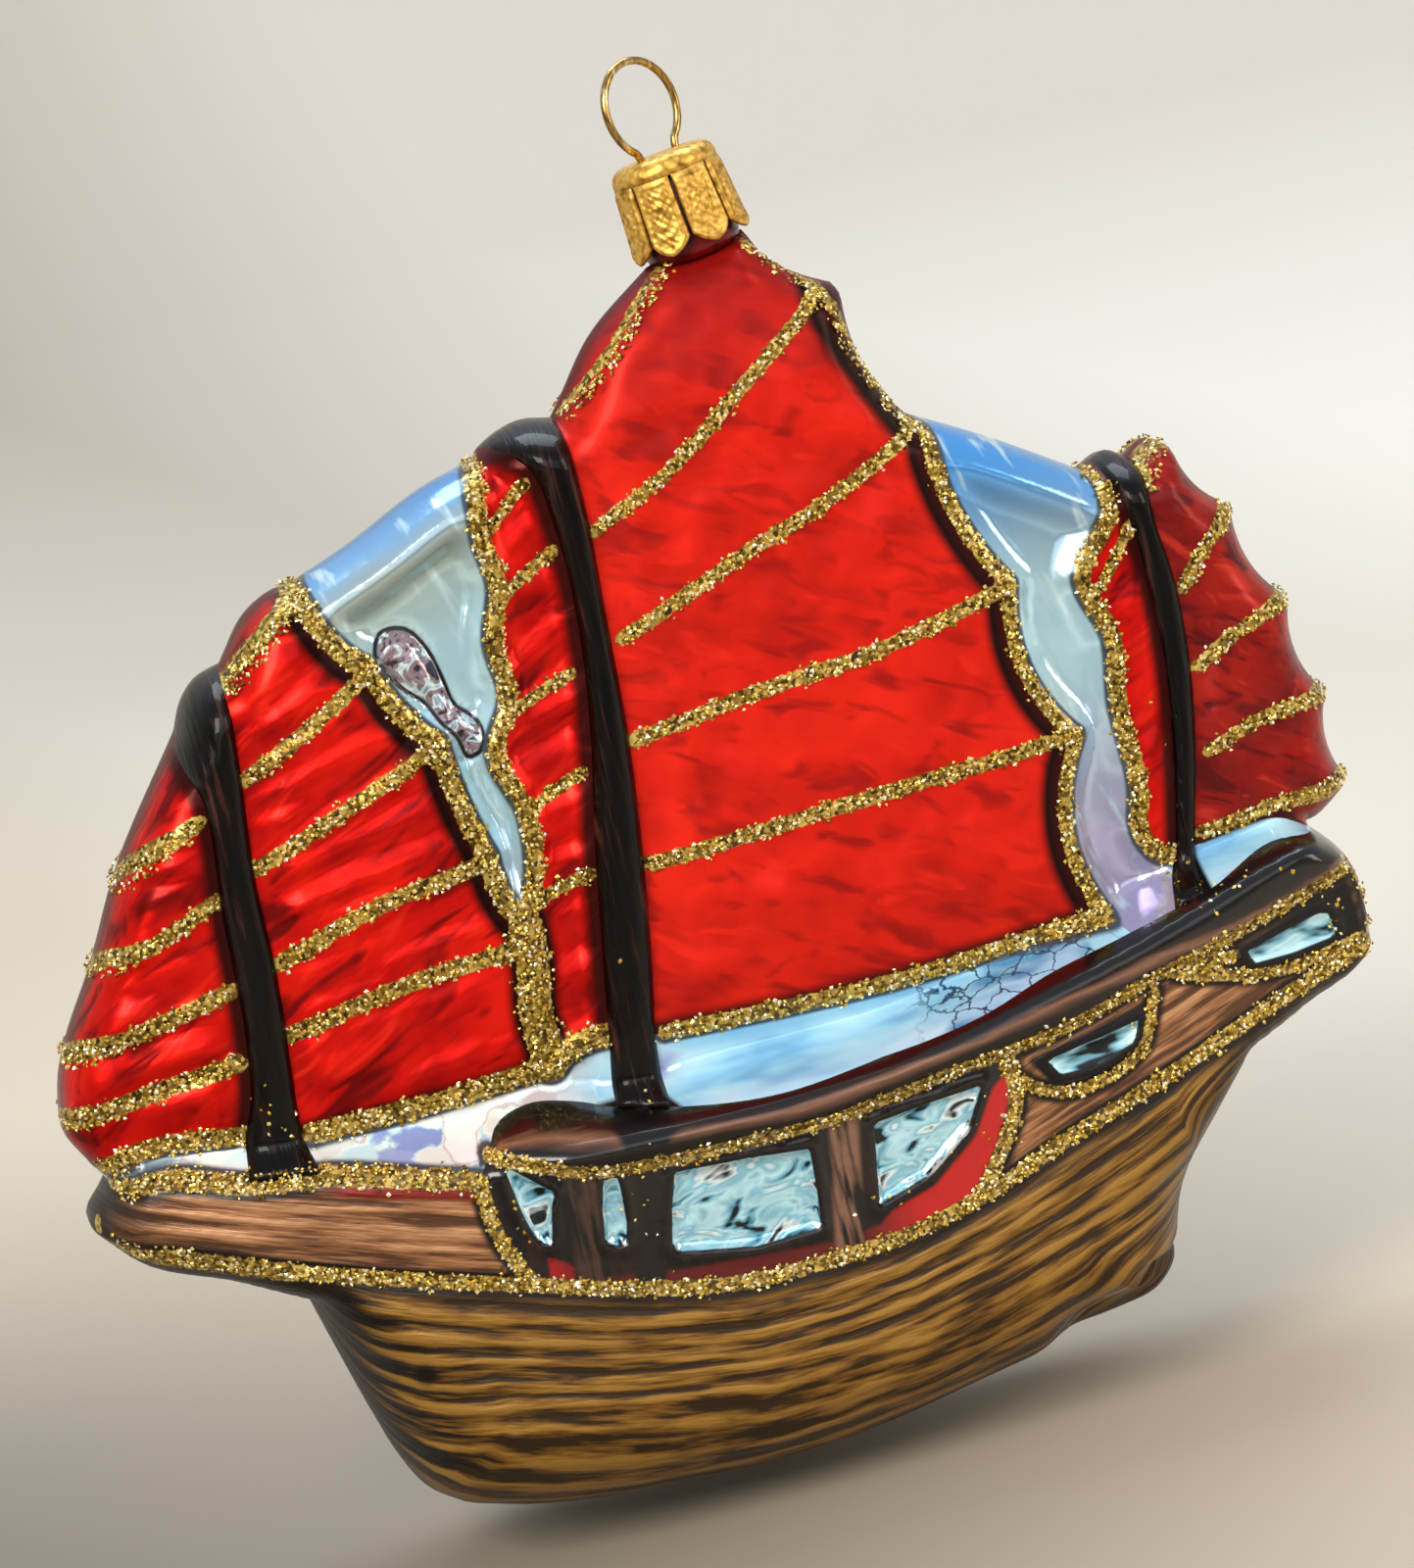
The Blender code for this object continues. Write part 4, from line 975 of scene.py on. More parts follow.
def deep_red():
    # A thicker, duller coat of it, crumpled like cloth
    return red_lacquer(
        "deep red lacquer on silvered glass",
        [(0.32, "#6E0E0C"), (0.5, "#90140E"), (0.68, "#A42012")], (1.8, 5, 35),
        "#560A0A", "#B02A1C", metal=0.4, rough=0.38, crease=0.5, ior=1.28, coat=0.1)


def black_spar():
    # Thick brown-black lacquer, streaked along the spar and very glossy
    made, tree, shader, place = start("brown-black gloss lacquer on glass")
    drawn = node(tree, "Mapping", {"Vector": place, "Scale": (1, 14, 14)},
                 vector_type="TEXTURE")
    streaks = node(tree, "TexNoise", {"Vector": drawn, "Scale": 1000 / 0.7, "Detail": 3.0})
    tone = node(tree, "ValToRGB", {"Fac": streaks},
                stops=[(0.42, "#020101"), (0.58, "#0C0403"), (0.72, "#40201A")])
    ripple = node(tree, "Bump", {"Height": streaks, "Distance": 0.35 * MM, "Strength": 0.8})
    set_up(tree, shader, Base_Color=tone, Roughness=0.35, Metallic=0.1, Normal=ripple, IOR=1.2,
           Coat_Weight=0.4, Coat_Roughness=0.03, Coat_IOR=1.35)
    return made


def silver_painted_reflections():
    # Silver lining seen through clear glass, its colours painted reflections: blue along the top seam,
    # dull and greenish below it, paler again towards the deck, with paler streaks and light and dark
    # lens-like reflections in the lobe
    made, tree, shader, place = start("silvered blown glass with painted reflections")
    split = node(tree, "Mapping", {"Vector": place, "Scale": (1.5, 1, 1)}, vector_type="TEXTURE")
    cloud = node(tree, "TexNoise", {"Vector": split, "Scale": 1000 / 7, "Detail": 3.0})
    seam = node(tree, "Attribute", pick="Fac", attribute_name="seam")
    level = node(tree, "Math", {0: cloud, 1: 3.0, 2: seam}, operation="MULTIPLY_ADD")
    below = node(tree, "MapRange", {"Value": level, "From Min": 1.5, "From Max": 13.5})
    tone = node(tree, "ValToRGB", {"Fac": below},
                stops=[(0.0, "#5F96CC"), (0.16, "#7EAEDA"), (0.25, "#98B4C4"), (0.36, "#9BAAA4"),
                       (0.62, "#AECACC"), (1.0, "#B4DAE8")])
    place_x = node(tree, "SeparateXYZ", {"Vector": place}, pick="X")
    place_z = node(tree, "SeparateXYZ", {"Vector": place}, pick="Z")
    aft = node(tree, "MapRange", {"Value": place_x, "From Min": 0.0, "From Max": 0.005})
    high = node(tree, "MapRange", {"Value": place_z, "From Min": -0.056, "From Max": -0.04},
                **SOFT)
    blue = node(tree, "Math", {0: aft, 1: high}, operation="MULTIPLY")
    tone = node(tree, "Mix", {0: blue, 6: tone, 7: "#4C98DC"}, **COLOURS)
    low = node(tree, "MapRange", {"Value": place_z, "From Min": -0.06, "From Max": -0.08}, **SOFT)
    tone = node(tree, "Mix", {0: low, 6: tone, 7: "#A8A4C4"}, **COLOURS)
    streaked = node(tree, "Mapping", {"Vector": place, "Rotation": (0, math.radians(75), 0),
                                      "Scale": (5, 4, 1)}, vector_type="TEXTURE")
    streaks = node(tree, "TexNoise", {"Vector": streaked, "Scale": 1000 / 1.6, "Detail": 2.0})
    bright = node(tree, "MapRange", {"Value": streaks, "From Min": 0.56, "From Max": 0.74},
                  **SOFT)
    tone = node(tree, "Mix", {0: bright, 6: tone, 7: "#C8E4EE"}, **COLOURS)
    # Painted reflections in the moulded lobe: light and dark lens-like glints, and a dark outline round
    # it
    lens = node(tree, "TexNoise", {"Vector": place, "Scale": 1000 / 2.2, "Detail": 2.0,
                                   "Distortion": 1.5})
    lens = node(tree, "ValToRGB", {"Fac": lens},
                stops=[(0.36, "#3C343C"), (0.42, "#9A868E"), (0.5, "#8A7E84"), (0.56, "#E4F2F8"),
                       (0.64, "#A4C4D8"), (0.72, "#4C4450")])
    tone = spray_paint_and_shade(tree, tone, "lobe", 0.3, 0.0, lens)
    line = node(tree, "Math", {0: node(tree, "Attribute", pick="Fac", attribute_name="lobe")},
                operation="ABSOLUTE")
    drawn = node(tree, "MapRange", {"Value": line, "From Min": 0.32, "From Max": 0.1}, **SOFT)
    tone = node(tree, "Mix", {0: drawn, 6: tone, 7: "#262024"}, **COLOURS)
    # Painted shade: a dark halo round the foot of the raised glitter
    tone = spray_paint_and_shade(tree, tone, "glue", -0.1, -0.45, "#4A5660")
    tone = add_glue(tree, place, tone)
    swell = node(tree, "Bump", {"Height": cloud, "Distance": 0.5 * MM, "Strength": 0.4})
    drag = node(tree, "Bump", {"Height": streaks, "Distance": 0.1 * MM, "Strength": 0.4,
                               "Normal": swell})
    set_up(tree, shader, Base_Color=tone, Roughness=0.16, Metallic=0.5, Normal=drag)
    return made


def deck_silver_painted_reflections():
    # The same lining under the sails, its tones painted reflections: pale blue, with whiter and mauve
    # facets forward, and fine cracks in the silver towards the stern with bluer patches there
    made, tree, shader, place = start("cracked silver lining in clear glass")
    wide = node(tree, "Mapping", {"Vector": place, "Scale": (2.2, 1, 1)}, vector_type="TEXTURE")
    cloud = node(tree, "TexNoise", {"Vector": wide, "Scale": 1000 / 4, "Detail": 2.0})
    midship = node(tree, "ValToRGB", {"Fac": cloud},
                   stops=[(0.3, "#78B4DC"), (0.45, "#9CD2EE"), (0.6, "#B4DEF0"), (0.75, "#9AAAD8")])
    shifted = node(tree, "TexNoise", {"Vector": place, "Scale": 1000 / 1.5, "Detail": 3.0},
                   pick="Color")
    shifted = node(tree, "VectorMath", {0: shifted, 1: (0.0018, 0.0018, 0.0018), 2: place},
                   operation="MULTIPLY_ADD")
    facets = node(tree, "TexVoronoi", {"Vector": shifted, "Scale": 1000 / 3.4,
                                       "Smoothness": 0.3}, pick="Color", feature="SMOOTH_F1")
    forward = node(tree, "ValToRGB", {"Fac": facets},
                   stops=[(0.26, "#8898D0"), (0.38, "#C4E2EA"), (0.48, "#E4ECE6"), (0.6, "#C0B2B4"),
                          (0.74, "#E8EEF0")])
    place_x = node(tree, "SeparateXYZ", {"Vector": place}, pick="X")
    aft = node(tree, "MapRange", {"Value": place_x, "From Min": -0.03, "From Max": -0.024})
    tone = node(tree, "Mix", {0: aft, 6: forward, 7: midship}, **COLOURS)
    cracks = node(tree, "TexVoronoi", {"Vector": shifted, "Scale": 1000 / 2.8},
                  feature="DISTANCE_TO_EDGE")
    thin = node(tree, "MapRange", {"Value": cracks, "From Min": 0.06, "From Max": 0.01}, **SOFT)
    from_middle = node(tree, "Math", {0: place_x, 1: 0.014}, operation="SUBTRACT")
    from_middle = node(tree, "Math", {0: from_middle}, operation="ABSOLUTE")
    there = node(tree, "MapRange", {"Value": from_middle, "From Min": 0.011, "From Max": 0.007})
    crazed = node(tree, "Math", {0: thin, 1: there}, operation="MULTIPLY")
    bluer_patches = node(tree, "Math", {0: cloud, 1: there}, operation="MULTIPLY")
    bluer_patches = node(tree, "MapRange", {"Value": bluer_patches, "From Min": 0.4, "From Max": 0.62},
                   **SOFT)
    tone = node(tree, "Mix", {0: bluer_patches, 6: tone, 7: "#4C8CBC"}, **COLOURS)
    tone = node(tree, "Mix", {0: crazed, 6: tone, 7: "#1E4664"}, **COLOURS)
    tone = spray_paint_and_shade(tree, tone, "foot", 0.2, -0.3, "#080404")
    # Painted shade: a dark halo round the foot of the raised glitter
    tone = spray_paint_and_shade(tree, tone, "glue", -0.1, -0.5, "#3C4650")
    tone = add_glue(tree, place, tone)
    swell = node(tree, "Bump", {"Height": cloud, "Distance": 0.4 * MM, "Strength": 0.4})
    set_up(tree, shader, Base_Color=tone, Roughness=0.2, Metallic=0.2, Normal=swell, IOR=1.45,
           Coat_Weight=0.3, Coat_Roughness=0.06)
    return made


def brown_rail():
    # Black lacquer along the top and bottom and brown between them, with a painted highlight: a lighter
    # brown band along the middle of the rounded rail
    made, tree, shader, place = start("brown and black lacquer on glass")
    long = node(tree, "Mapping", {"Vector": place, "Scale": (6, 1, 1)}, vector_type="TEXTURE")
    wobble = node(tree, "TexNoise", {"Vector": long, "Scale": 1000 / 2.5, "Detail": 3.0})
    share = node(tree, "Attribute", pick="Fac", attribute_name="rail")
    down = node(tree, "Math", {0: wobble, 1: 0.5, 2: share}, operation="MULTIPLY_ADD")
    # Painted highlight: the lighter brown stop in the middle of the ramp
    tone = node(tree, "ValToRGB", {"Fac": down},
                stops=[(0.42, "#060303"), (0.56, "#24130C"), (0.7, "#805A44"), (0.79, "#56382A"),
                       (0.92, "#120906")])
    tone = spray_paint_and_shade(tree, tone, "foot", 0.4, -0.4, "#080404")
    tone = add_glue(tree, place, tone)
    ripple = node(tree, "Bump", {"Height": wobble, "Distance": 0.3 * MM, "Strength": 0.4})
    set_up(tree, shader, Base_Color=tone, Roughness=0.32, Metallic=0.1, Normal=ripple, IOR=1.35,
           Coat_Weight=0.6, Coat_Roughness=0.08)
    return made


def planks(name, light, middle, dark, black, panel):
    """Lacquer rubbed over moulded planks, dark in the grooves. A panel has panes in it."""
    made, tree, shader, place = start(name)
    place_x = node(tree, "SeparateXYZ", {"Vector": place}, pick="X")
    place_z = node(tree, "SeparateXYZ", {"Vector": place}, pick="Z")
    plank = node(tree, "Attribute", pick="Fac", attribute_name="plank")
    forward = node(tree, "Math", {0: place_x, 1: 1000 / 22}, operation="MULTIPLY")
    rows = node(tree, "Math", {0: plank, 1: 1 / 1.8}, operation="MULTIPLY")
    along_plank = node(tree, "CombineXYZ", {"X": forward, "Y": rows})
    dirt = node(tree, "TexNoise", {"Vector": along_plank, "Scale": 1.7, "Detail": 4.0,
                                   "Roughness": 0.6})
    fine = node(tree, "TexNoise", {"Vector": along_plank, "Scale": 3.4, "Detail": 2.0})
    phase = node(tree, "Math", {0: plank, 1: math.tau / PLANK}, operation="MULTIPLY")
    groove = node(tree, "Math", {0: phase}, operation="COSINE")
    settled = node(tree, "Math", {0: groove, 1: 0.07, 2: dirt}, operation="MULTIPLY_ADD")
    settled = node(tree, "Math", {0: fine, 1: 0.16, 2: settled}, operation="MULTIPLY_ADD")
    tone = node(tree, "ValToRGB", {"Fac": settled},
                stops=[(0.45, light), (0.57, middle), (0.67, dark)])
    # Painted shade: near black where the body rolls away near its outline
    tone = spray_paint_and_shade(tree, tone, "seam", 0.8, 6.0, black)
    if panel:
        # Painted shade: a dark halo round the foot of the raised glitter
        tone = spray_paint_and_shade(tree, tone, "glue", -0.1, -0.8, "#180C07")
        under_rim = node(tree, "MapRange", {
            "Value": node(tree, "Attribute", pick="Fac", attribute_name="bow_top"),
            "From Min": 2.1, "From Max": 1.6}, **SOFT)
        fore_part = node(tree, "MapRange", {"Value": place_x, "From Min": -0.053,
                                            "From Max": -0.049}, **SOFT)
        red = node(tree, "Math", {0: under_rim, 1: fore_part}, operation="MULTIPLY")
        tone = node(tree, "Mix", {0: red, 6: tone, 7: "#7A1A12"}, **COLOURS)
        tone = spray_paint_and_shade(tree, tone, "frame", 0.3, -0.3, "#080505")
        tone = spray_paint_and_shade(tree, tone, "pane", -0.6, -0.9, "#080505")
        # Painted reflection: light and dark silver in the panes
        wide = node(tree, "Mapping", {"Vector": place, "Scale": (3, 1, 1)},
                    vector_type="TEXTURE")
        shine = node(tree, "TexNoise", {"Vector": wide, "Scale": 1000 / 1.6, "Detail": 2.0})
        silver = node(tree, "ValToRGB", {"Fac": shine},
                      stops=[(0.36, "#10181C"), (0.44, "#6CA4B8"), (0.56, "#B4DCE6")])
        tone = spray_paint_and_shade(tree, tone, "pane", 0.1, -0.05, silver)
    else:
        flat_place = node(tree, "CombineXYZ", {"X": place_x, "Z": place_z})
        knot = node(tree, "VectorMath", {0: flat_place, 1: (-0.0471, 0, -0.109)}, pick="Value",
                    operation="DISTANCE")
        eye = node(tree, "MapRange", {"Value": knot, "From Min": 1.5 * MM, "From Max": 0.5 * MM},
                   **SOFT)
        tone = node(tree, "Mix", {0: eye, 6: tone, 7: black}, **COLOURS)
        # Blotchy black towards the stem
        stem = node(tree, "MapRange", {"Value": place_x, "From Min": -0.036,
                                       "From Max": -0.062}, **SOFT)
        blotches_towards_stem = node(tree, "Math", {0: stem, 1: 0.5, 2: dirt}, operation="MULTIPLY_ADD")
        blotches_towards_stem = node(tree, "MapRange", {"Value": blotches_towards_stem, "From Min": 0.62, "From Max": 0.86},
                    **SOFT)
        tone = node(tree, "Mix", {0: blotches_towards_stem, 6: tone, 7: black}, **COLOURS)
        # Painted shade: a dark halo round the foot of the raised glitter
        tone = spray_paint_and_shade(tree, tone, "glue", -0.2, -1.4, "#1E1208")
    tone = add_glue(tree, place, tone)
    rough = node(tree, "MapRange", {"Value": fine, "To Min": 0.32, "To Max": 0.5})
    worn = node(tree, "Bump", {"Height": settled, "Distance": 0.5 * MM, "Strength": 0.5},
                invert=True)
    set_up(tree, shader, Base_Color=tone, Roughness=rough, Metallic=0.25, Normal=worn, IOR=1.4,
           Coat_Weight=0.15, Coat_Roughness=0.25)
    return made


def brown_planks():
    # Ochre lacquer rubbed over moulded planks, with dark brown left in the grooves
    return planks("ochre and brown lacquer on moulded planks", "#9C7430", "#744F18", "#30200C",
                  "#0E0703", False)


def brown_panel():
    # The same lacquer, browner, on the bow and stern panels
    return planks("brown lacquer on moulded panels", "#BA8A62", "#946440", "#553621",
                  "#180C06", True)


def window_band():
    # Silver panes painted with light and dark reflections, with dark lacquered frames and a red sill
    made, tree, shader, place = start("painted windows on silvered glass")
    wavy = node(tree, "Mapping", {"Vector": place, "Rotation": (0, math.radians(-12), 0),
                                  "Scale": (2, 1, 1)}, vector_type="TEXTURE")
    squiggle = node(tree, "TexNoise", {"Vector": wavy, "Scale": 1000 / 2.4, "Detail": 2.5,
                                       "Distortion": 0.8})
    # Painted reflection in the panes: light and dark squiggles
    silver = node(tree, "ValToRGB", {"Fac": squiggle},
                  stops=[(0.35, "#080E12"), (0.39, "#5CA4C0"), (0.46, "#BCE8F4"),
                         (0.57, "#84C2DA"), (0.63, "#E8F8FC"), (0.7, "#141E24")])
    place_x = node(tree, "SeparateXYZ", {"Vector": place}, pick="X")
    place_z = node(tree, "SeparateXYZ", {"Vector": place}, pick="Z")
    leaned = node(tree, "Math", {0: place_z, 1: -POST_LEAN, 2: place_x},
                  operation="MULTIPLY_ADD")
    drawn = node(tree, "Mapping", {"Vector": place, "Scale": (1, 1, 8)}, vector_type="TEXTURE")
    streaks = node(tree, "TexNoise", {"Vector": drawn, "Scale": 1000 / 0.7, "Detail": 3.0})
    tone = node(tree, "ValToRGB", {"Fac": streaks}, stops=[(0.45, "#060303"), (0.7, "#24130D")])
    red = node(tree, "Attribute", pick="Fac", attribute_name="red")
    painted = node(tree, "MapRange", {"Value": red, "From Min": 0.0, "From Max": 0.5}, **SOFT)
    from_middle = node(tree, "Math", {0: place_x, 1: 0.018}, operation="ADD")
    from_middle = node(tree, "Math", {0: from_middle}, operation="ABSOLUTE")
    ends = node(tree, "MapRange", {"Value": from_middle, "From Min": 0.012, "From Max": 0.019},
                **SOFT)
    paint = node(tree, "Mix", {0: ends, 6: "#560A0A", 7: "#B41410"}, **COLOURS)
    tone = node(tree, "Mix", {0: painted, 6: tone, 7: paint}, **COLOURS)
    for middle, width, paint in POSTS:
        middle_at_foot = (middle + 100 * POST_LEAN) * MM
        away = node(tree, "Math", {0: leaned, 1: middle_at_foot}, operation="SUBTRACT")
        away = node(tree, "Math", {0: away}, operation="ABSOLUTE")
        post = node(tree, "MapRange", {"Value": away, "From Min": width * 0.5 * MM,
                                       "From Max": width * 0.3 * MM}, **SOFT)
        worn = node(tree, "ValToRGB", {"Fac": streaks}, stops=[(0.4, "#080504"), (0.62, paint)])
        tone = node(tree, "Mix", {0: post, 6: tone, 7: worn}, **COLOURS)
    tone = spray_paint_and_shade(tree, tone, "pane", -0.1, -0.5, "#070404")
    tone = spray_paint_and_shade(tree, tone, "pane", 0.12, -0.02, silver)
    tone = add_glue(tree, place, tone)
    pane = node(tree, "Attribute", pick="Fac", attribute_name="pane")
    rough = node(tree, "MapRange", {"Value": pane, "From Max": 0.1, "To Min": 0.24,
                                    "To Max": 0.1})
    metal = node(tree, "MapRange", {"Value": pane, "From Max": 0.1, "To Min": 0.1,
                                    "To Max": 0.5})
    warp = node(tree, "Bump", {"Height": squiggle, "Distance": 0.4 * MM, "Strength": 0.5})
    set_up(tree, shader, Base_Color=tone, Roughness=rough, Metallic=metal, Normal=warp, IOR=1.4,
           Coat_Weight=0.5, Coat_Roughness=0.05)
    return made


def gold_glitter():
    # Cut metallised flakes about 0.5 mm across, each in a random shade from dark gold to near white,
    # partly the flakes' own tones and partly painted glints and painted shade for flakes that catch or
    # miss the light
    made, tree, shader, place = start("gold glitter flakes")
    tint_and_glint = node(tree, "Attribute", pick="Fac", attribute_name="tint_and_glint")
    tone = node(tree, "ValToRGB", {"Fac": tint_and_glint},
                stops=[(0.08, "#6E5818"), (0.25, "#A8862C"), (0.5, "#D8B44A"), (0.75, "#F4DE84"),
                       (0.97, "#FFFCE2")])
    fine = node(tree, "TexNoise", {"Vector": place, "Scale": 1000 / 0.3, "Detail": 1.0})
    rough = node(tree, "MapRange", {"Value": fine, "To Min": 0.18, "To Max": 0.42})
    ripple = node(tree, "Bump", {"Height": fine, "Distance": 0.04 * MM, "Strength": 0.4})
    set_up(tree, shader, Base_Color=tone, Roughness=rough, Metallic=0.65, Normal=ripple)
    return made


def gold_foil():
    # Thin stamped foil, satin gold, with a beaded ground pressed into the petals and painted shade
    # darker between the beads
    made, tree, shader, place = start("stamped gold foil")
    grains = node(tree, "TexVoronoi", {"Vector": place, "Scale": 1000 / 0.5}, pick="Distance",
                  feature="SMOOTH_F1")
    # Painted shade: darker gold between the beads
    tone = node(tree, "ValToRGB", {"Fac": grains},
                stops=[(0.1, "#EEC468"), (0.5, "#CE9E40"), (0.8, "#7C5A1C")])
    haze = node(tree, "TexNoise", {"Vector": place, "Scale": 1000 / 1.5, "Detail": 3.0})
    rough = node(tree, "MapRange", {"Value": haze, "To Min": 0.34, "To Max": 0.5})
    pressed = node(tree, "Bump", {"Height": grains, "Distance": 0.12 * MM, "Strength": 0.5})
    set_up(tree, shader, Base_Color=tone, Roughness=rough, Metallic=0.75, Normal=pressed)
    return made


def gold_wire():
    # Drawn steel wire with a brass plating, bright with faint draw lines
    made, tree, shader, place = start("brass-plated wire")
    drawn = node(tree, "Mapping", {"Vector": place, "Scale": (1, 1, 8)}, vector_type="TEXTURE")
    lines = node(tree, "TexNoise", {"Vector": drawn, "Scale": 1000 / 0.5, "Detail": 2.0})
    tone = node(tree, "ValToRGB", {"Fac": lines},
                stops=[(0.3, "#7C602C"), (0.55, "#BC985A"), (0.75, "#E6D09C")])
    score = node(tree, "Bump", {"Height": lines, "Distance": 0.02 * MM, "Strength": 0.3})
    set_up(tree, shader, Base_Color=tone, Roughness=0.22, Metallic=1.0, Normal=score)
    return made


def neck_lacquer():
    # Dark red lacquer that runs out to brown-black on the neck under the cap
    made, tree, shader, place = start("dark red lacquer on the glass neck")
    drawn = node(tree, "Mapping", {"Vector": place, "Scale": (1, 1, 2)}, vector_type="TEXTURE")
    runs = node(tree, "TexNoise", {"Vector": drawn, "Scale": 1000 / 2, "Detail": 3.0})
    tone = node(tree, "ValToRGB", {"Fac": runs},
                stops=[(0.35, "#1E0806"), (0.5, "#5A0C0C"), (0.7, "#8A1412")])
    ripple = node(tree, "Bump", {"Height": runs, "Distance": 0.1 * MM, "Strength": 0.4})
    set_up(tree, shader, Base_Color=tone, Roughness=0.3, Metallic=0.4, Normal=ripple, IOR=1.3,
           Coat_Weight=0.2, Coat_Roughness=0.08)
    return made


def pale_paper():
    # Matt cream paper, greyer where it's in the shade of the room, at the front and left
    made, tree, shader, place = start("matt cream paper")
    slope = node(tree, "VectorMath", {0: place, 1: (5.5, 1.54, 0)}, pick="Value",
                 operation="DOT_PRODUCT")
    lit = node(tree, "MapRange", {"Value": slope, "From Min": -1.9, "From Max": 2.4})
    tone = node(tree, "ValToRGB", {"Fac": lit},
                stops=[(0.0, "#D8CFC0"), (0.4, "#C4B8A4"), (0.49, "#C8BAA6"), (0.6, "#D4CABA"),
                       (0.76, "#CCC3B3"), (1.0, "#F2EADC")])
    away = node(tree, "VectorMath", {0: place, 1: (-0.25, -0.06, -0.13)}, pick="Value",
                operation="DISTANCE")
    shade = node(tree, "MapRange", {"Value": away, "From Min": 0.36, "From Max": 0.14}, **SOFT)
    tone = node(tree, "Mix", {0: shade, 6: tone, 7: "#6A6156"}, **COLOURS)
    place_y = node(tree, "SeparateXYZ", {"Vector": place}, pick="Y")
    front = node(tree, "MapRange", {"Value": place_y, "From Min": -0.15, "From Max": -0.6},
                 **SOFT)
    tone = node(tree, "Mix", {0: front, 6: tone, 7: "#8E8577"}, **COLOURS)
    tooth = node(tree, "TexNoise", {"Vector": place, "Scale": 1000 / 1.2, "Detail": 3.0})
    grain = node(tree, "Bump", {"Height": tooth, "Distance": 0.05 * MM, "Strength": 0.3})
    set_up(tree, shader, Base_Color=tone, Roughness=0.85, Normal=grain)
    return made


# The ornament

finish_makers = {"satin_red": satin_red, "gloss_red": gloss_red, "deep_red": deep_red,
                 "black_spar": black_spar, "silver_painted_reflections": silver_painted_reflections,
                 "deck_silver_painted_reflections": deck_silver_painted_reflections, "brown_rail": brown_rail,
                 "window_band": window_band, "brown_panel": brown_panel,
                 "brown_planks": brown_planks}
made_finishes = {key: maker() for key, maker in finish_makers.items()}

glass = []
for zone, points, kind, height, reach, finish, slot in ZONES:
    glass.append(make_zone(zone, points, kind, height, reach, made_finishes[finish]))

all_points, all_faces = [], []
for piece in glass:
    first = len(all_points)
    all_points += [vert.co / MM for vert in piece.data.vertices]
    all_faces += [[first + index for index in face.vertices] for face in piece.data.polygons]
glass_tree = BVHTree.FromPolygons(all_points, all_faces)
flakes = gold_glitter()
make_glitter("main", glass_tree, flakes, 1)
make_glitter("luff", glass_tree, flakes, 2)
make_glitter("fore", glass_tree, flakes, 3)
make_glitter("mizzen", glass_tree, flakes, 4)
STRAYS = [((-24.5, -99), (1.4, 3.2), 24), ((-20.5, -82), (0.9, 5), 10), ((-54, -84), (1.2, 2), 24),
          ((0, -104), (3.5, 1.2), 14), ((7, -100), (1.6, 2), 16), ((33, -76), (0.6, 5), 6),
          ((31.5, -83.5), (1, 2), 22), ((36, -84.6), (3, 0.5), 12), ((44.6, -90), (0.8, 1.2), 14),
          ((23.5, -94.5), (1, 1.2), 12), ((-35.3, -96), (0.8, 2.6), 12)]
make_glitter("hull", glass_tree, flakes, 5, STRAYS)
make_neck(neck_lacquer())
make_cap(gold_foil())
make_ring(gold_wire())


# Stage, light and camera

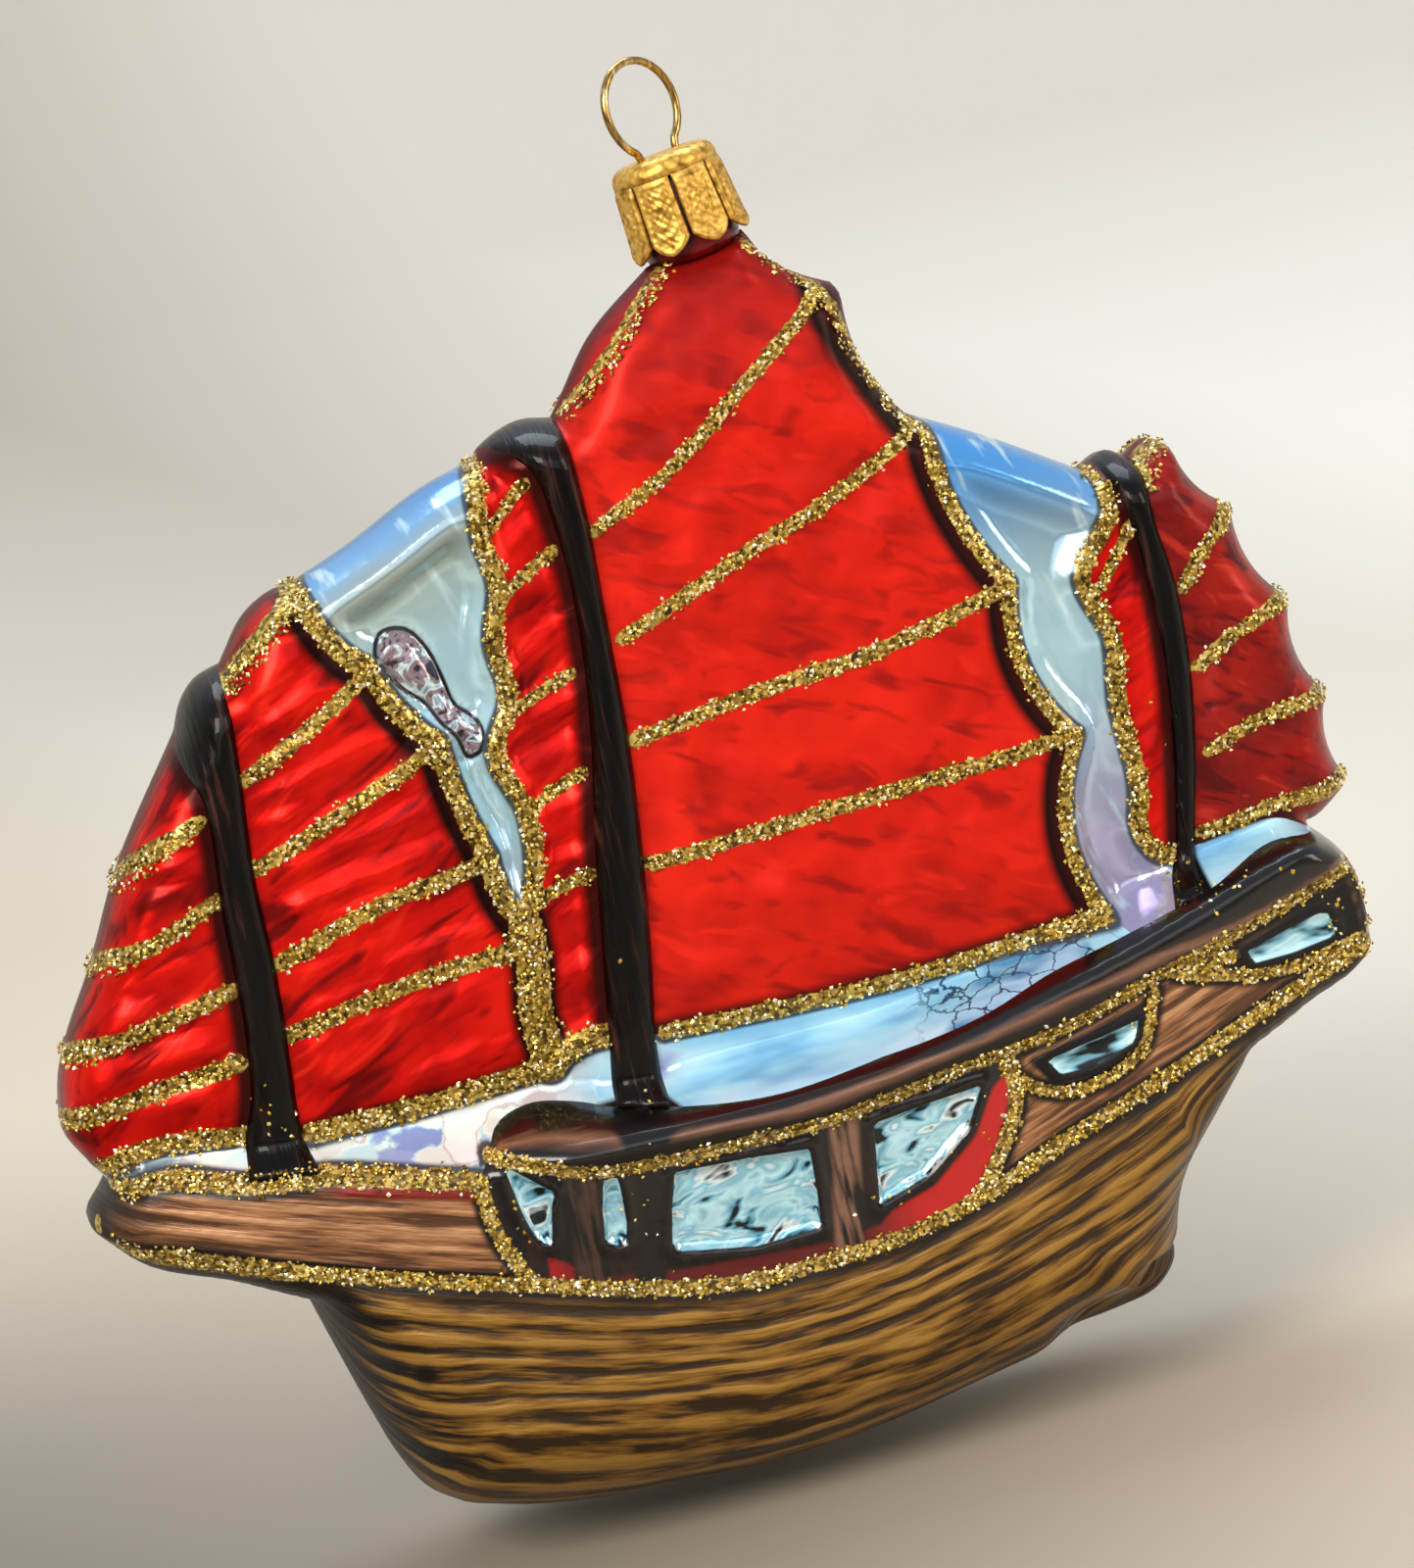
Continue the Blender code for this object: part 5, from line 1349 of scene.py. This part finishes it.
def make_stage():
    """A pale floor that curves up into a low round wall."""
    bm = bmesh.new()
    profile = smooth([(0, 0), (0.7, 0), (1.15, 0.06), (1.4, 0.3), (1.45, 0.75)])
    verts = [bm.verts.new((radius, 0, height)) for radius, height in profile]
    edges = [bm.edges.new(pair) for pair in zip(verts, verts[1:])]
    bmesh.ops.spin(bm, geom=verts + edges, cent=(0, 0, 0), axis=(0, 0, 1),
                   angle=math.tau, steps=96, use_merge=True)
    bmesh.ops.remove_doubles(bm, verts=bm.verts, dist=0.0001)
    bmesh.ops.translate(bm, vec=(0, 0, -0.1315), verts=bm.verts)
    mesh = to_mesh(bm, "floor", 1.0)
    mesh.materials.append(pale_paper())
    floor = bpy.data.objects.new("floor", mesh)
    bpy.context.scene.collection.objects.link(floor)


def make_light(name, place, size, power, tone):
    lamp = bpy.data.lights.new(name, "AREA")
    lamp.shape = "RECTANGLE"
    lamp.size, lamp.size_y = size
    lamp.energy = power
    lamp.color = colour(tone)[:3]
    stand = bpy.data.objects.new(name, lamp)
    stand.location = place
    aim = Vector((-0.008, 0, -0.066)) - Vector(place)
    stand.rotation_euler = aim.to_track_quat("-Z", "Y").to_euler()
    bpy.context.scene.collection.objects.link(stand)


def make_camera():
    """Looks down a little on the port side, with the stern turned up to the right."""
    turn, rise, roll = math.radians(-8), math.radians(10), math.radians(13.3)
    away = Vector((math.sin(turn) * math.cos(rise), -math.cos(turn) * math.cos(rise),
                   math.sin(rise)))
    right = Vector((math.cos(turn), math.sin(turn), 0))
    up = away.cross(right)
    across = right * math.cos(roll) - up * math.sin(roll)
    upright = right * math.sin(roll) + up * math.cos(roll)
    lens = bpy.data.cameras.new("camera")
    lens.lens = 103.95
    lens.sensor_width = 36
    view = bpy.data.objects.new("camera", lens)
    facing = Matrix((across, upright, away)).transposed().to_4x4()
    view.rotation_euler = facing.to_euler()
    view.location = Vector((-0.0078, 0, -0.0657)) + away * 0.42
    bpy.context.scene.collection.objects.link(view)
    bpy.context.scene.camera = view


make_stage()
make_light("key", (-0.45, -0.6, 0.42), (0.42, 0.42), 7.6, "#FFF6EA")
make_light("fill", (0.72, -0.5, 0.26), (0.3, 0.45), 2.6, "#FFF2E4")
make_light("sky", (0.1, 0.35, 0.75), (0.7, 0.5), 6.0, "#E4F0FF")
make_light("front", (0.0, -1.0, 0.38), (1.1, 0.5), 2.4, "#F4F6FF")
make_camera()

world = bpy.data.worlds.new("studio")
world.use_nodes = True
world.node_tree.nodes["Background"].inputs["Color"].default_value = colour("#DDE8F4")
world.node_tree.nodes["Background"].inputs["Strength"].default_value = 0.7
bpy.context.scene.world = world
bpy.context.scene.view_settings.view_transform = "Standard"
